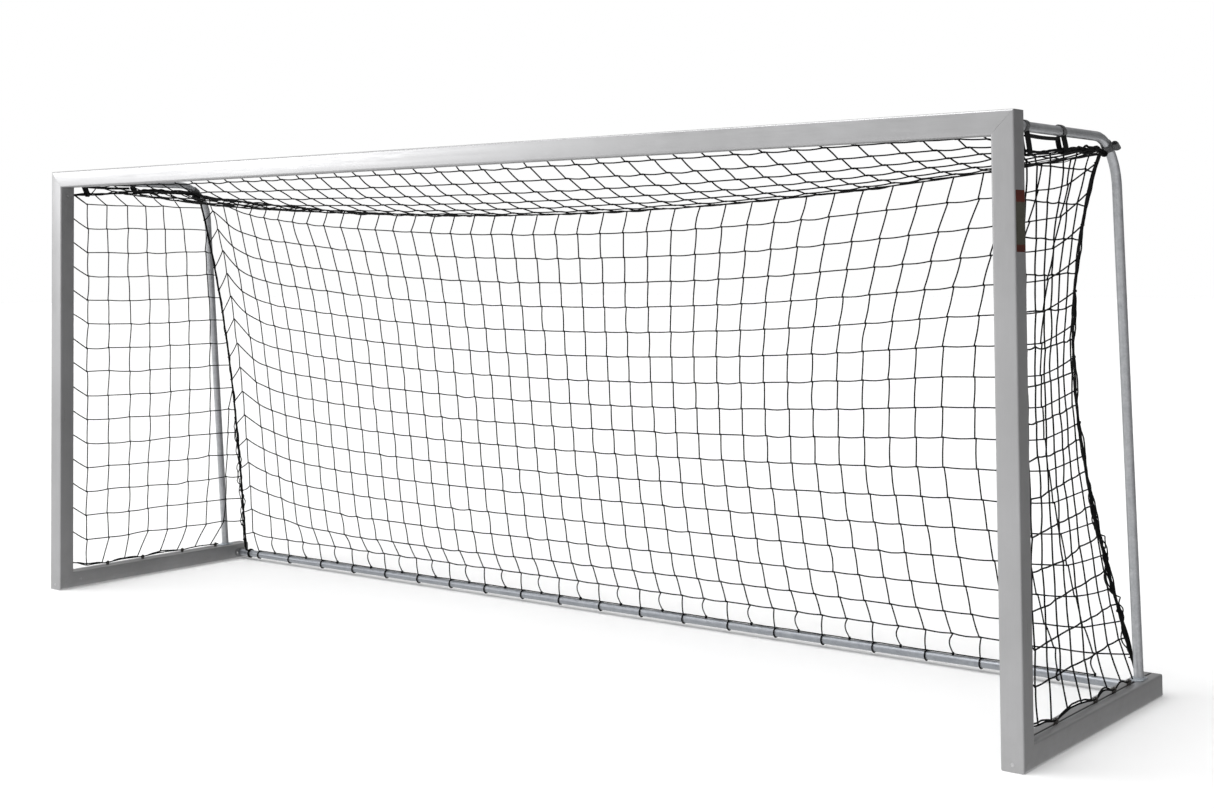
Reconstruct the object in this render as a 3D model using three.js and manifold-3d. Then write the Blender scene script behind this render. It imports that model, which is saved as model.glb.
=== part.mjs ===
// Free-standing 5 x 2 m youth soccer goal: mitred square-profile frame with a net
// groove, bent-tube net brackets, round rear ground bar, net hooks and a box net.
// Millimetres, +Z up. While it is being built, Y = 0 is the goal's front face and
// Y grows towards the back; the finished group is moved so that Y = 0 is its middle.

import * as THREE from 'three';
import { mergeVertices } from 'three/addons/utils/BufferGeometryUtils.js';
import Module from 'manifold-3d';

const wasm = await Module();
wasm.setup();

// ---------------------------------------------------------------- dimensions

const CLEAR_WIDTH = 5000;
const CLEAR_HEIGHT = 2000;
const TOTAL_DEPTH = 1200;
const GAP = 0.3;

// Square extrusion with a T-shaped net groove in the middle of one face.
const PROFILE = 80;
const WALL = 2.5;
const EDGE_RADIUS = 7;
const GROOVE = { opening: 8, width: 15, lip: 3, depth: 10 };

const HALF = PROFILE / 2;
const POST_X = (CLEAR_WIDTH + PROFILE) / 2;
const BEAM_Z = CLEAR_HEIGHT + HALF;
const RAIL_TOP = PROFILE;

// Bent net bracket: one steel tube from the top corner down into the ground rail.
// footY is where its centre line meets the rail's top face.
const TUBE = { radius: 17.5, wall: 2, sides: 16 };
const BRACKET = {
  topZ: 2035,
  frontY: 30,
  footY: 1075,
  footZ: 12,
  lean: THREE.MathUtils.degToRad(3.9),
  bendRadius: 190,
  bendSteps: 12,
};

const REAR_BAR = { y: 1150, z: 33 };
const SOCKET = { length: 84, height: 44, thickness: 4, spigotRadius: 15, spigotLength: 60, screwPitch: 56 };

const CONNECTOR = { inset: 3.5, grooveClearance: 13.5, arm: 150, chamfer: 3, slotRim: 14 };

const SCREW = { head: 7, shank: 4, countersink: 3, length: 24, key: 2.4, keyDepth: 2.2 };
const BUTTON = { head: 5.6, shank: 3, height: 3, length: 16, key: 1.9, keyDepth: 1.8 };
const CORNER_SCREW_OFFSET = 42;
const FRONT_SCREW_Z = 24;

const END_CAP = { plate: 4.7, plug: 10, plugInset: 6 };
const FOOT_PLATE = { length: 90, width: 46, thickness: 3, ringHeight: 6, ringWall: 4 };

// Net hooks: positions along each ground rail, measured from the front face.
const HOOK_Y = { left: [310, 527, 782, 1005], right: [335, 670, 836, 975] };
const HOOK = { length: 10, ringOuter: 8.5, ringInner: 5, ringHeight: 10.5, flange: 12, flangeHeight: 2.2 };
const HOOK_RUN = 18;

const STRAP = { thickness: 2, width: 20, wide: 32, frontY: 160, middleY: 455, bendAngle: 28, loop: 46, bendSlack: 1.2, ropeSlack: 1.8 };

// Box net: how far it reaches and how far its free edges sag or draw in.
const NET = {
  thickness: 1.2,
  cornerY: 868,
  cornerZ: 1980,
  cornerX: 2512,
  cornerDrawIn: 100,
  cornerForward: 10,
  cornerFootX: 2450,
  foldSag: 160,
  foldForward: 15,
  edgeGap: 7,
  frontY: 92,
  frontTopZ: 2030,
  sideX: 2530,
  sideFootZ: 122,
  rearFootZ: 58,
};
// Arcs of a full turn get twice this many sides.
const ROPE = { border: 4, bundle: 7, arcSteps: 4 };

const COLOURS = {
  aluminium: { color: 0xa9abad, roughness: 0.42, metalness: 0.85 },
  tube: { color: 0x9a9c9d, roughness: 0.4, metalness: 0.85 },
  casting: { color: 0x8b8d8f, roughness: 0.6, metalness: 0.7 },
  steel: { color: 0x77797b, roughness: 0.35, metalness: 0.9 },
  plastic: { color: 0x2a2523, roughness: 0.5, metalness: 0 },
  cap: { color: 0x8e9092, roughness: 0.6, metalness: 0 },
  webbing: { color: 0x1b1b1d, roughness: 0.9, metalness: 0 },
  cord: { color: 0x101012, roughness: 0.85, metalness: 0 },
};

// ------------------------------------------------------------------- helpers

const goal = new THREE.Group();

function addPart(name, geometry, finish) {
  const mesh = new THREE.Mesh(geometry, new THREE.MeshStandardMaterial(COLOURS[finish]));
  mesh.name = name;
  goal.add(mesh);
  return mesh;
}

function vector(x, y, z) {
  return new THREE.Vector3(x, y, z);
}

// Keeps only the merged positions, which is what the solid library reads.
function bare(geometry) {
  const copy = geometry.clone();
  copy.deleteAttribute('normal');
  copy.deleteAttribute('uv');
  return mergeVertices(copy, 1e-4);
}

function toSolid(geometry) {
  const source = bare(geometry);
  const vertProperties = new Float32Array(source.attributes.position.array);
  const triVerts = new Uint32Array(source.index.array);
  return new wasm.Manifold(new wasm.Mesh({ numProp: 3, vertProperties, triVerts }));
}

function toGeometry(solid) {
  const mesh = solid.getMesh();
  const geometry = new THREE.BufferGeometry();
  geometry.setAttribute('position', new THREE.BufferAttribute(new Float32Array(mesh.vertProperties), 3));
  geometry.setIndex(new THREE.BufferAttribute(new Uint32Array(mesh.triVerts), 1));
  geometry.computeVertexNormals();
  return geometry;
}

function cut(geometry, ...cutters) {
  return toGeometry(cutters.reduce((solid, cutter) => solid.subtract(toSolid(cutter)), toSolid(geometry)));
}

function join(geometry, ...others) {
  return toGeometry(others.reduce((solid, other) => solid.add(toSolid(other)), toSolid(geometry)));
}

// Turns local x, y, z to the given world directions, then moves to the origin given.
function place(geometry, xAxis, yAxis, zAxis, origin) {
  const matrix = new THREE.Matrix4().makeBasis(xAxis, yAxis, zAxis);
  matrix.setPosition(origin);
  return geometry.clone().applyMatrix4(matrix);
}

const X = vector(1, 0, 0);
const Y = vector(0, 1, 0);
const Z = vector(0, 0, 1);

// Stands a solid of revolution, made around local y, along a world direction.
function along(geometry, direction, origin) {
  const turn = new THREE.Quaternion().setFromUnitVectors(Y, direction.clone().normalize());
  const matrix = new THREE.Matrix4().compose(origin, turn, vector(1, 1, 1));
  return geometry.clone().applyMatrix4(matrix);
}

function lathe(points, segments) {
  return new THREE.LatheGeometry(points.map(([radius, height]) => new THREE.Vector2(radius, height)), segments);
}

function rod(radius, start, end, segments) {
  const length = start.distanceTo(end);
  const geometry = lathe([[0, 0], [radius, 0], [radius, length], [0, length]], segments);
  return along(geometry, end.clone().sub(start), start);
}

// ------------------------------------------------------------ square profile

function roundedRect(path, halfX, bottom, top, radius) {
  path.moveTo(-halfX + radius, bottom);
  path.lineTo(halfX - radius, bottom);
  path.absarc(halfX - radius, bottom + radius, radius, -Math.PI / 2, 0, false);
  path.lineTo(halfX, top - radius);
  path.absarc(halfX - radius, top - radius, radius, 0, Math.PI / 2, false);
}

function closeRoundedRect(path, halfX, bottom, top, radius) {
  path.lineTo(-halfX + radius, top);
  path.absarc(-halfX + radius, top - radius, radius, Math.PI / 2, Math.PI, false);
  path.lineTo(-halfX, bottom + radius);
  path.absarc(-halfX + radius, bottom + radius, radius, Math.PI, Math.PI * 1.5, false);
}

// The groove opens at the top of the section, y = +HALF.
function profileShape() {
  const outer = new THREE.Shape();
  roundedRect(outer, HALF, -HALF, HALF, EDGE_RADIUS);
  outer.lineTo(GROOVE.opening / 2, HALF);
  outer.lineTo(GROOVE.opening / 2, HALF - GROOVE.lip);
  outer.lineTo(GROOVE.width / 2, HALF - GROOVE.lip);
  outer.lineTo(GROOVE.width / 2, HALF - GROOVE.depth);
  outer.lineTo(-GROOVE.width / 2, HALF - GROOVE.depth);
  outer.lineTo(-GROOVE.width / 2, HALF - GROOVE.lip);
  outer.lineTo(-GROOVE.opening / 2, HALF - GROOVE.lip);
  outer.lineTo(-GROOVE.opening / 2, HALF);
  closeRoundedRect(outer, HALF, -HALF, HALF, EDGE_RADIUS);

  const inner = HALF - WALL;
  const web = GROOVE.width / 2 + WALL;
  const hollow = new THREE.Path();
  roundedRect(hollow, inner, -inner, inner, EDGE_RADIUS - WALL);
  hollow.lineTo(web, inner);
  hollow.lineTo(web, HALF - GROOVE.depth - WALL);
  hollow.lineTo(-web, HALF - GROOVE.depth - WALL);
  hollow.lineTo(-web, inner);
  closeRoundedRect(hollow, inner, -inner, inner, EDGE_RADIUS - WALL);
  outer.holes.push(hollow);
  return outer;
}

// A length of profile along local z. Each end may be cut on a slope across x or y.
function profileBar(length, startSlope, endSlope) {
  const geometry = new THREE.ExtrudeGeometry(profileShape(), {
    depth: length,
    steps: 1,
    bevelEnabled: false,
    curveSegments: 4,
  });
  const position = geometry.attributes.position;
  for (let i = 0; i < position.count; i += 1) {
    const slope = position.getZ(i) < length / 2 ? startSlope : endSlope;
    const shift = slope.x * position.getX(i) + slope.y * position.getY(i);
    position.setZ(i, position.getZ(i) + shift);
  }
  return geometry;
}

const SQUARE_CUT = { x: 0, y: 0 };

// ------------------------------------------------------------------ fasteners

// Countersunk socket screw: its head is flush at y = 0 and it points along +y.
function countersunkScrew() {
  return lathe([
    [0, SCREW.keyDepth],
    [SCREW.key, SCREW.keyDepth],
    [SCREW.key, 0.2],
    [SCREW.head, 0.2],
    [SCREW.shank, SCREW.countersink + 0.2],
    [SCREW.shank, SCREW.length],
    [0, SCREW.length],
  ], 16);
}

function countersunkHole() {
  return lathe([
    [0, -2],
    [SCREW.head + GAP * 2, -2],
    [SCREW.head + GAP * 2, 0.2],
    [SCREW.shank + GAP * 1.5, SCREW.countersink + 0.4],
    [SCREW.shank + GAP * 1.5, SCREW.length + 1],
    [0, SCREW.length + 1],
  ], 16);
}

// Button-head screw: the underside of its head is at y = 0 and it points along +y.
function buttonScrew() {
  return lathe([
    [0, BUTTON.keyDepth - BUTTON.height],
    [BUTTON.key, BUTTON.keyDepth - BUTTON.height],
    [BUTTON.key, -BUTTON.height],
    [BUTTON.head * 0.6, -BUTTON.height],
    [BUTTON.head, -BUTTON.height * 0.35],
    [BUTTON.head, 0],
    [BUTTON.shank, 0],
    [BUTTON.shank, BUTTON.length],
    [0, BUTTON.length],
  ], 16);
}

function buttonHole(depth) {
  const radius = BUTTON.shank + GAP;
  return lathe([[0, -1], [radius, -1], [radius, depth], [0, depth]], 16);
}

const SIDES = [{ name: 'left', sign: -1 }, { name: 'right', sign: 1 }];

// Where each corner screw starts and which way it points, for one side of the goal.
function cornerScrews(sign) {
  const inward = vector(sign, 0, 0);
  return {
    post: { origin: vector(sign * CLEAR_WIDTH / 2, HALF, CLEAR_HEIGHT - CORNER_SCREW_OFFSET), axis: inward },
    crossbar: { origin: vector(sign * (CLEAR_WIDTH / 2 - CORNER_SCREW_OFFSET), HALF, CLEAR_HEIGHT), axis: Z },
    front: { origin: vector(sign * POST_X, 0, FRONT_SCREW_Z), axis: Y },
    rail: { origin: vector(sign * CLEAR_WIDTH / 2, PROFILE + CORNER_SCREW_OFFSET, HALF), axis: inward },
  };
}

function screwHoles(places) {
  return places.map(({ origin, axis }) => along(countersunkHole(), axis, origin));
}

// ------------------------------------------------------------------ net bracket

// Centre line of the bracket in its own upright plane: pairs of y and z.
function bracketLine(frontY, footZ) {
  const { topZ, footY, lean, bendRadius, bendSteps } = BRACKET;
  const turn = Math.PI / 2 - lean;
  const bendEndZ = topZ - bendRadius * (1 - Math.cos(turn));
  const legFootY = (height) => footY - Math.tan(lean) * (height - RAIL_TOP);
  const bendStartY = legFootY(bendEndZ) - bendRadius * Math.sin(turn);
  const points = [[frontY, topZ]];
  for (let i = 0; i <= bendSteps; i += 1) {
    const angle = turn * i / bendSteps;
    points.push([bendStartY + bendRadius * Math.sin(angle), topZ - bendRadius * (1 - Math.cos(angle))]);
  }
  points.push([legFootY(footZ), footZ]);
  return points;
}

// The place and direction of the tube at an angle into its bend.
function bracketBendPoint(angleDegrees) {
  const angle = THREE.MathUtils.degToRad(angleDegrees);
  const bendStart = bracketLine(0, 0)[1];
  return {
    y: bendStart[0] + BRACKET.bendRadius * Math.sin(angle),
    z: BRACKET.topZ - BRACKET.bendRadius * (1 - Math.cos(angle)),
    angle,
  };
}

// A round bar swept along a planar line in the plane x = planeX, closed at both ends.
function sweptBar(line, radius, planeX, segments) {
  const positions = [];
  const index = [];
  line.forEach(([y, z], i) => {
    const before = line[Math.max(i - 1, 0)];
    const after = line[Math.min(i + 1, line.length - 1)];
    const length = Math.hypot(after[0] - before[0], after[1] - before[1]);
    const normal = [-(after[1] - before[1]) / length, (after[0] - before[0]) / length];
    for (let k = 0; k < segments; k += 1) {
      const angle = 2 * Math.PI * k / segments;
      const out = radius * Math.cos(angle);
      positions.push(planeX + radius * Math.sin(angle), y + normal[0] * out, z + normal[1] * out);
    }
  });
  for (let i = 0; i < line.length - 1; i += 1) {
    for (let k = 0; k < segments; k += 1) {
      const a = i * segments + k;
      const b = i * segments + (k + 1) % segments;
      index.push(a, b, a + segments, b, b + segments, a + segments);
    }
  }
  const last = (line.length - 1) * segments;
  for (let k = 1; k < segments - 1; k += 1) {
    index.push(0, k + 1, k, last, last + k, last + k + 1);
  }
  const geometry = new THREE.BufferGeometry();
  geometry.setAttribute('position', new THREE.Float32BufferAttribute(positions, 3));
  geometry.setIndex(index);
  geometry.computeVertexNormals();
  return geometry;
}

function netBracket(sign) {
  const planeX = sign * POST_X;
  const outside = sweptBar(bracketLine(BRACKET.frontY, BRACKET.footZ), TUBE.radius, planeX, TUBE.sides);
  const bore = bracketLine(BRACKET.frontY - 5, BRACKET.footZ - 5);
  return cut(outside, sweptBar(bore, TUBE.radius - TUBE.wall, planeX, TUBE.sides));
}

// Clearance for the bracket tube in the corner and in the ground rail.
function bracketClearance(sign) {
  const line = bracketLine(BRACKET.frontY - GAP, BRACKET.footZ - GAP);
  return sweptBar(line, TUBE.radius + GAP * 1.5, sign * POST_X, TUBE.sides);
}

// ------------------------------------------------------------- frame members

function buildFrame() {
  const mitreGap = GAP * 0.85;
  const crossbar = place(
    profileBar(CLEAR_WIDTH + PROFILE - 2 * mitreGap, { x: 1, y: 0 }, { x: -1, y: 0 }),
    Z.clone().negate(), Y, X,
    vector(-POST_X + mitreGap, HALF, BEAM_Z),
  );
  const crossbarCutters = SIDES.flatMap(({ sign }) => [
    ...screwHoles([cornerScrews(sign).crossbar]),
    bracketClearance(sign),
  ]);
  addPart('crossbar', cut(crossbar, ...crossbarCutters), 'aluminium');

  for (const { name, sign } of SIDES) {
    const screws = cornerScrews(sign);
    const post = place(
      profileBar(BEAM_Z - HALF - 2 * mitreGap, { x: 0, y: 1 }, { x: sign, y: 0 }),
      X, Y, Z,
      vector(sign * POST_X, HALF, HALF + mitreGap),
    );
    const postCutters = [...screwHoles([screws.post, screws.front]), bracketClearance(sign)];
    addPart(`${name}_post`, cut(post, ...postCutters), 'aluminium');

    const railEnd = TOTAL_DEPTH - END_CAP.plate - GAP;
    const rail = place(
      profileBar(railEnd - HALF - mitreGap, { x: 0, y: 1 }, SQUARE_CUT),
      X.clone().negate(), Z, Y,
      vector(sign * POST_X, HALF + mitreGap, HALF),
    );
    const socketHoles = socketScrewPlaces(sign).map((origin) => (
      along(buttonHole(BUTTON.length), vector(sign, 0, 0), origin)
    ));
    const railCutters = [...screwHoles([screws.rail, screws.front]), bracketClearance(sign), ...socketHoles];
    addPart(`${name}_ground_rail`, cut(rail, ...railCutters), 'aluminium');
  }
}

// --------------------------------------------------------- corner connectors

// An L of two arms, with a slot in each arm. Its outer corner is at (near, near)
// and its inner corner at (thickness, thickness), measured from the profile's middle.
function lOutline(near, thickness) {
  const { arm, slotRim } = CONNECTOR;
  const shape = new THREE.Shape();
  shape.moveTo(near + 6, near);
  shape.lineTo(thickness + arm, near);
  shape.lineTo(thickness + arm, thickness);
  shape.lineTo(thickness, thickness);
  shape.lineTo(thickness, thickness + arm);
  shape.lineTo(near, thickness + arm);
  shape.lineTo(near, near + 6);
  const middle = (near + thickness) / 2;
  const halfWidth = (thickness - near) / 2 - slotRim;
  const start = HALF + CORNER_SCREW_OFFSET + slotRim;
  const end = thickness + arm - slotRim;
  for (const turned of [false, true]) {
    const slot = new THREE.Path();
    const corners = [
      [start, middle - halfWidth],
      [start, middle + halfWidth],
      [end, middle + halfWidth],
      [end, middle - halfWidth],
    ];
    corners.forEach(([u, v], i) => {
      const point = turned ? [v, u] : [u, v];
      if (i === 0) slot.moveTo(...point);
      else slot.lineTo(...point);
    });
    shape.holes.push(slot);
  }
  return shape;
}

function connectorSolid(shape, depth) {
  return new THREE.ExtrudeGeometry(shape, {
    depth: depth - 2 * CONNECTOR.chamfer,
    steps: 1,
    curveSegments: 1,
    bevelEnabled: true,
    bevelThickness: CONNECTOR.chamfer,
    bevelSize: CONNECTOR.chamfer,
    bevelSegments: 1,
  });
}

function buildConnectors() {
  const near = -HALF + CONNECTOR.inset + CONNECTOR.chamfer;
  const far = -near;
  const inner = HALF - CONNECTOR.grooveClearance - CONNECTOR.chamfer;
  const across = PROFILE - 2 * CONNECTOR.inset;
  const throughProfile = PROFILE - CONNECTOR.inset - CONNECTOR.grooveClearance;
  for (const { name, sign } of SIDES) {
    const screws = cornerScrews(sign);

    // Local x runs along the crossbar, local y down the post, local z to the front or back.
    const top = place(
      connectorSolid(lOutline(near, far), throughProfile),
      vector(-sign, 0, 0), vector(0, 0, -1), vector(0, -sign, 0),
      vector(
        sign * POST_X,
        sign > 0 ? PROFILE - CONNECTOR.grooveClearance - CONNECTOR.chamfer : CONNECTOR.inset + CONNECTOR.chamfer,
        BEAM_Z,
      ),
    );
    const topCutters = [...screwHoles([screws.post, screws.crossbar]), bracketClearance(sign)];
    addPart(`${name}_top_corner_connector`, cut(top, ...topCutters), 'casting');

    // Local x runs back along the rail, local y up the post, local z across the goal.
    const bottom = place(
      connectorSolid(lOutline(near, inner), across),
      Y, Z, X,
      vector(sign * POST_X - across / 2 + CONNECTOR.chamfer, HALF, HALF),
    );
    const bottomCutters = screwHoles([screws.front, screws.rail]);
    addPart(`${name}_bottom_corner_connector`, cut(bottom, ...bottomCutters), 'casting');

    const labels = { post: 'post_corner', crossbar: 'crossbar_corner', front: 'front_foot', rail: 'rail_corner' };
    for (const [key, label] of Object.entries(labels)) {
      const { origin, axis } = screws[key];
      addPart(`${name}_${label}_screw`, along(countersunkScrew(), axis, origin), 'steel');
    }
  }
}

// --------------------------------------------------------- rear ground bar

function socketScrewPlaces(sign) {
  return [-1, 1].map((end) => (
    vector(sign * CLEAR_WIDTH / 2, REAR_BAR.y + end * SOCKET.screwPitch / 2, REAR_BAR.z)
  ));
}

function roundEndedPlate(length, height, thickness) {
  const shape = new THREE.Shape();
  const radius = height / 2;
  const straight = (length - height) / 2;
  shape.absarc(straight, 0, radius, -Math.PI / 2, Math.PI / 2, false);
  shape.absarc(-straight, 0, radius, Math.PI / 2, Math.PI * 1.5, false);
  return new THREE.ExtrudeGeometry(shape, { depth: thickness, steps: 1, bevelEnabled: false, curveSegments: 6 });
}

function buildRearBar() {
  const face = CLEAR_WIDTH / 2 - GAP;
  const plateInner = face - SOCKET.thickness;
  const barHalf = plateInner - GAP;
  const outside = rod(TUBE.radius, vector(-barHalf, REAR_BAR.y, REAR_BAR.z), vector(barHalf, REAR_BAR.y, REAR_BAR.z), 16);
  const bore = rod(
    TUBE.radius - TUBE.wall,
    vector(-barHalf - 1, REAR_BAR.y, REAR_BAR.z),
    vector(barHalf + 1, REAR_BAR.y, REAR_BAR.z),
    16,
  );
  addPart('rear_ground_bar', cut(outside, bore), 'tube');

  for (const { name, sign } of SIDES) {
    const plate = place(
      roundEndedPlate(SOCKET.length, SOCKET.height, SOCKET.thickness),
      Y, Z, X,
      vector(sign > 0 ? plateInner : -face, REAR_BAR.y, REAR_BAR.z),
    );
    const spigot = rod(
      SOCKET.spigotRadius,
      vector(sign * (face - 1), REAR_BAR.y, REAR_BAR.z),
      vector(sign * (plateInner - SOCKET.spigotLength), REAR_BAR.y, REAR_BAR.z),
      20,
    );
    const outward = vector(sign, 0, 0);
    const seats = socketScrewPlaces(sign).map((origin) => (
      origin.clone().addScaledVector(outward, -SOCKET.thickness - GAP * 2)
    ));
    const holes = seats.map((seat) => along(buttonHole(SOCKET.thickness + 2), outward, seat));
    addPart(`${name}_rear_bar_socket`, cut(join(plate, spigot), ...holes), 'casting');
    seats.forEach((seat, i) => {
      const label = i === 0 ? 'front' : 'rear';
      addPart(`${name}_socket_screw_${label}`, along(buttonScrew(), outward, seat), 'steel');
    });
  }
}

// ------------------------------------------------------------ caps and plates

function endCap(sign) {
  const plateShape = new THREE.Shape();
  roundedRect(plateShape, HALF, -HALF, HALF, EDGE_RADIUS);
  closeRoundedRect(plateShape, HALF, -HALF, HALF, EDGE_RADIUS);
  const plugShape = new THREE.Shape();
  const side = HALF - END_CAP.plugInset;
  const top = HALF - CONNECTOR.grooveClearance;
  roundedRect(plugShape, side, -side, top, 3);
  closeRoundedRect(plugShape, side, -side, top, 3);
  const plate = new THREE.ExtrudeGeometry(plateShape, {
    depth: END_CAP.plate, steps: 1, bevelEnabled: false, curveSegments: 4,
  });
  const plug = new THREE.ExtrudeGeometry(plugShape, {
    depth: END_CAP.plug + 1, steps: 1, bevelEnabled: false, curveSegments: 2,
  });
  plug.translate(0, 0, -END_CAP.plug);
  const origin = vector(sign * POST_X, TOTAL_DEPTH - END_CAP.plate, HALF);
  return place(join(plate, plug), X.clone().negate(), Z, Y, origin);
}

// A plate around the bracket's foot, with a low ring that holds the tube.
function footPlate(sign) {
  const bottom = RAIL_TOP + GAP;
  const centre = vector(sign * POST_X, BRACKET.footY, bottom);
  const plate = place(
    roundEndedPlate(FOOT_PLATE.length, FOOT_PLATE.width, FOOT_PLATE.thickness),
    Y, X.clone().negate(), Z,
    centre,
  );
  const ringTop = centre.clone().addScaledVector(Z, FOOT_PLATE.thickness + FOOT_PLATE.ringHeight);
  const ringBottom = centre.clone().addScaledVector(Z, 1);
  const ring = rod(TUBE.radius + FOOT_PLATE.ringWall, ringBottom, ringTop, TUBE.sides);
  return cut(join(plate, ring), bracketClearance(sign));
}

function buildTrim() {
  for (const { name, sign } of SIDES) {
    addPart(`${name}_net_bracket`, netBracket(sign), 'tube');
    addPart(`${name}_rail_end_cap`, endCap(sign), 'cap');
    addPart(`${name}_bracket_foot_plate`, footPlate(sign), 'tube');
  }
}

// ----------------------------------------------------------------- net hooks

// A T-shaped foot in the groove, a collar on the rail and an open ring above it.
// The section lies in x and y, with y = 0 at the rail's top face.
function hookShape() {
  const footHalf = GROOVE.width / 2 - 0.6;
  const footTop = -GROOVE.lip - 0.6;
  const footBottom = -GROOVE.depth + 0.8;
  const neckHalf = GROOVE.opening / 2 - 0.5;
  const flangeHalf = HOOK.flange / 2;
  const flangeBottom = GAP + 0.1;
  const flangeTop = flangeBottom + HOOK.flangeHeight;
  const mouthStart = THREE.MathUtils.degToRad(20);
  const mouthEnd = THREE.MathUtils.degToRad(75);
  const footAngle = Math.asin((flangeTop - HOOK.ringHeight) / HOOK.ringOuter);
  const shape = new THREE.Shape();
  shape.moveTo(-footHalf, footBottom);
  shape.lineTo(footHalf, footBottom);
  shape.lineTo(footHalf, footTop);
  shape.lineTo(neckHalf, footTop);
  shape.lineTo(neckHalf, flangeBottom);
  shape.lineTo(flangeHalf, flangeBottom);
  shape.lineTo(flangeHalf, flangeTop);
  shape.absarc(0, HOOK.ringHeight, HOOK.ringOuter, footAngle, mouthStart, false);
  shape.absarc(0, HOOK.ringHeight, HOOK.ringInner, mouthStart, mouthEnd, true);
  shape.absarc(0, HOOK.ringHeight, HOOK.ringOuter, mouthEnd, Math.PI - footAngle, false);
  shape.lineTo(-flangeHalf, flangeTop);
  shape.lineTo(-flangeHalf, flangeBottom);
  shape.lineTo(-neckHalf, flangeBottom);
  shape.lineTo(-neckHalf, footTop);
  shape.lineTo(-footHalf, footTop);
  return shape;
}

function buildHooks() {
  const solid = new THREE.ExtrudeGeometry(hookShape(), {
    depth: HOOK.length, steps: 1, bevelEnabled: false, curveSegments: 4,
  });
  for (const { name, sign } of SIDES) {
    HOOK_Y[name].forEach((hookY, i) => {
      const origin = vector(sign * POST_X, hookY - HOOK.length / 2, RAIL_TOP);
      const hook = place(solid, X.clone().negate(), Z, Y, origin);
      addPart(`${name}_net_hook_${i + 1}`, hook, 'plastic');
    });
  }
}

// -------------------------------------------------------------- ropes and net

const HOOK_RING_Z = RAIL_TOP + HOOK.ringHeight;

function rope(points, radius, steps) {
  const section = new THREE.Shape();
  section.absarc(0, 0, radius, 0, Math.PI * 2, false);
  const path = new THREE.CatmullRomCurve3(points, false, 'centripetal');
  return new THREE.ExtrudeGeometry(section, {
    steps,
    extrudePath: path,
    bevelEnabled: false,
    curveSegments: ROPE.arcSteps,
  });
}

// The rear corner of the net, s = 0 at the bracket's bend and 1 at the rear bar.
function cornerPoint(sign, s) {
  const bow = 4 * s * (1 - s);
  const footY = REAR_BAR.y - 4;
  return vector(
    sign * (THREE.MathUtils.lerp(NET.cornerX, NET.cornerFootX, s) - NET.cornerDrawIn * bow),
    THREE.MathUtils.lerp(NET.cornerY, footY, s) - NET.cornerForward * bow,
    THREE.MathUtils.lerp(NET.cornerZ, NET.rearFootZ, s),
  );
}

// The net's rear top edge, t = -1 at the left corner and +1 at the right one.
function foldPoint(t) {
  const sag = 1 - t * t;
  return vector(
    t * NET.cornerX,
    NET.cornerY - NET.foldForward * sag,
    NET.cornerZ - NET.foldSag * sag,
  );
}

// The gathered side edge that hangs in the straps below the bracket.
function bundlePoints(sign) {
  const x = sign * POST_X;
  return [
    vector(x, NET.frontY + 4, 1952),
    vector(x, STRAP.frontY, 1958),
    vector(x, 300, 1965),
    vector(x, STRAP.middleY, 1974),
    vector(x, 640, 1984),
    vector(x, 790, 1994),
  ];
}

// The lower side edge, threaded through the rail's hooks and raised between them.
function footRopePoints(sign, hooks) {
  const x = sign * POST_X;
  const rise = 14;
  const points = [vector(x, NET.frontY, HOOK_RING_Z + 12)];
  hooks.forEach((hookY, i) => {
    points.push(vector(x, hookY - HOOK_RUN, HOOK_RING_Z));
    points.push(vector(x, hookY + HOOK_RUN, HOOK_RING_Z));
    if (i < hooks.length - 1) {
      points.push(vector(x, (hookY + hooks[i + 1]) / 2, HOOK_RING_Z + rise));
    }
  });
  return points;
}

// A thin closed sheet through surface(u, v), with u and v from 0 to 1.
function sheet(surface, columns, rows) {
  const positions = [];
  const index = [];
  const step = 1e-3;
  const layer = (columns + 1) * (rows + 1);
  for (const side of [1, -1]) {
    for (let j = 0; j <= rows; j += 1) {
      for (let i = 0; i <= columns; i += 1) {
        const u = i / columns;
        const v = j / rows;
        const du = surface(Math.min(u + step, 1), v).sub(surface(Math.max(u - step, 0), v));
        const dv = surface(u, Math.min(v + step, 1)).sub(surface(u, Math.max(v - step, 0)));
        const normal = du.cross(dv).normalize();
        const point = surface(u, v).addScaledVector(normal, side * NET.thickness / 2);
        positions.push(point.x, point.y, point.z);
      }
    }
  }
  const at = (i, j) => j * (columns + 1) + i;
  for (let j = 0; j < rows; j += 1) {
    for (let i = 0; i < columns; i += 1) {
      const [a, b, c, d] = [at(i, j), at(i + 1, j), at(i + 1, j + 1), at(i, j + 1)];
      index.push(a, b, c, a, c, d);
      index.push(a + layer, c + layer, b + layer, a + layer, d + layer, c + layer);
    }
  }
  const rim = [];
  for (let i = 0; i < columns; i += 1) rim.push([at(i, 0), at(i + 1, 0)]);
  for (let j = 0; j < rows; j += 1) rim.push([at(columns, j), at(columns, j + 1)]);
  for (let i = columns; i > 0; i -= 1) rim.push([at(i, rows), at(i - 1, rows)]);
  for (let j = rows; j > 0; j -= 1) rim.push([at(0, j), at(0, j - 1)]);
  for (const [a, b] of rim) index.push(b, a, a + layer, b, a + layer, b + layer);
  const geometry = new THREE.BufferGeometry();
  geometry.setAttribute('position', new THREE.Float32BufferAttribute(positions, 3));
  geometry.setIndex(index);
  geometry.computeVertexNormals();
  return geometry;
}

function mix(a, b, t) {
  return a.clone().lerp(b, t);
}

// A patch spanned by its four edges: left and right run with v, bottom and top with u.
function coonsPatch(bottom, top, left, right) {
  return (u, v) => {
    const ruledV = mix(bottom(u), top(u), v);
    const ruledU = mix(left(v), right(v), u);
    const corners = mix(mix(bottom(0), bottom(1), u), mix(top(0), top(1), u), v);
    return ruledV.add(ruledU).sub(corners);
  };
}

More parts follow.
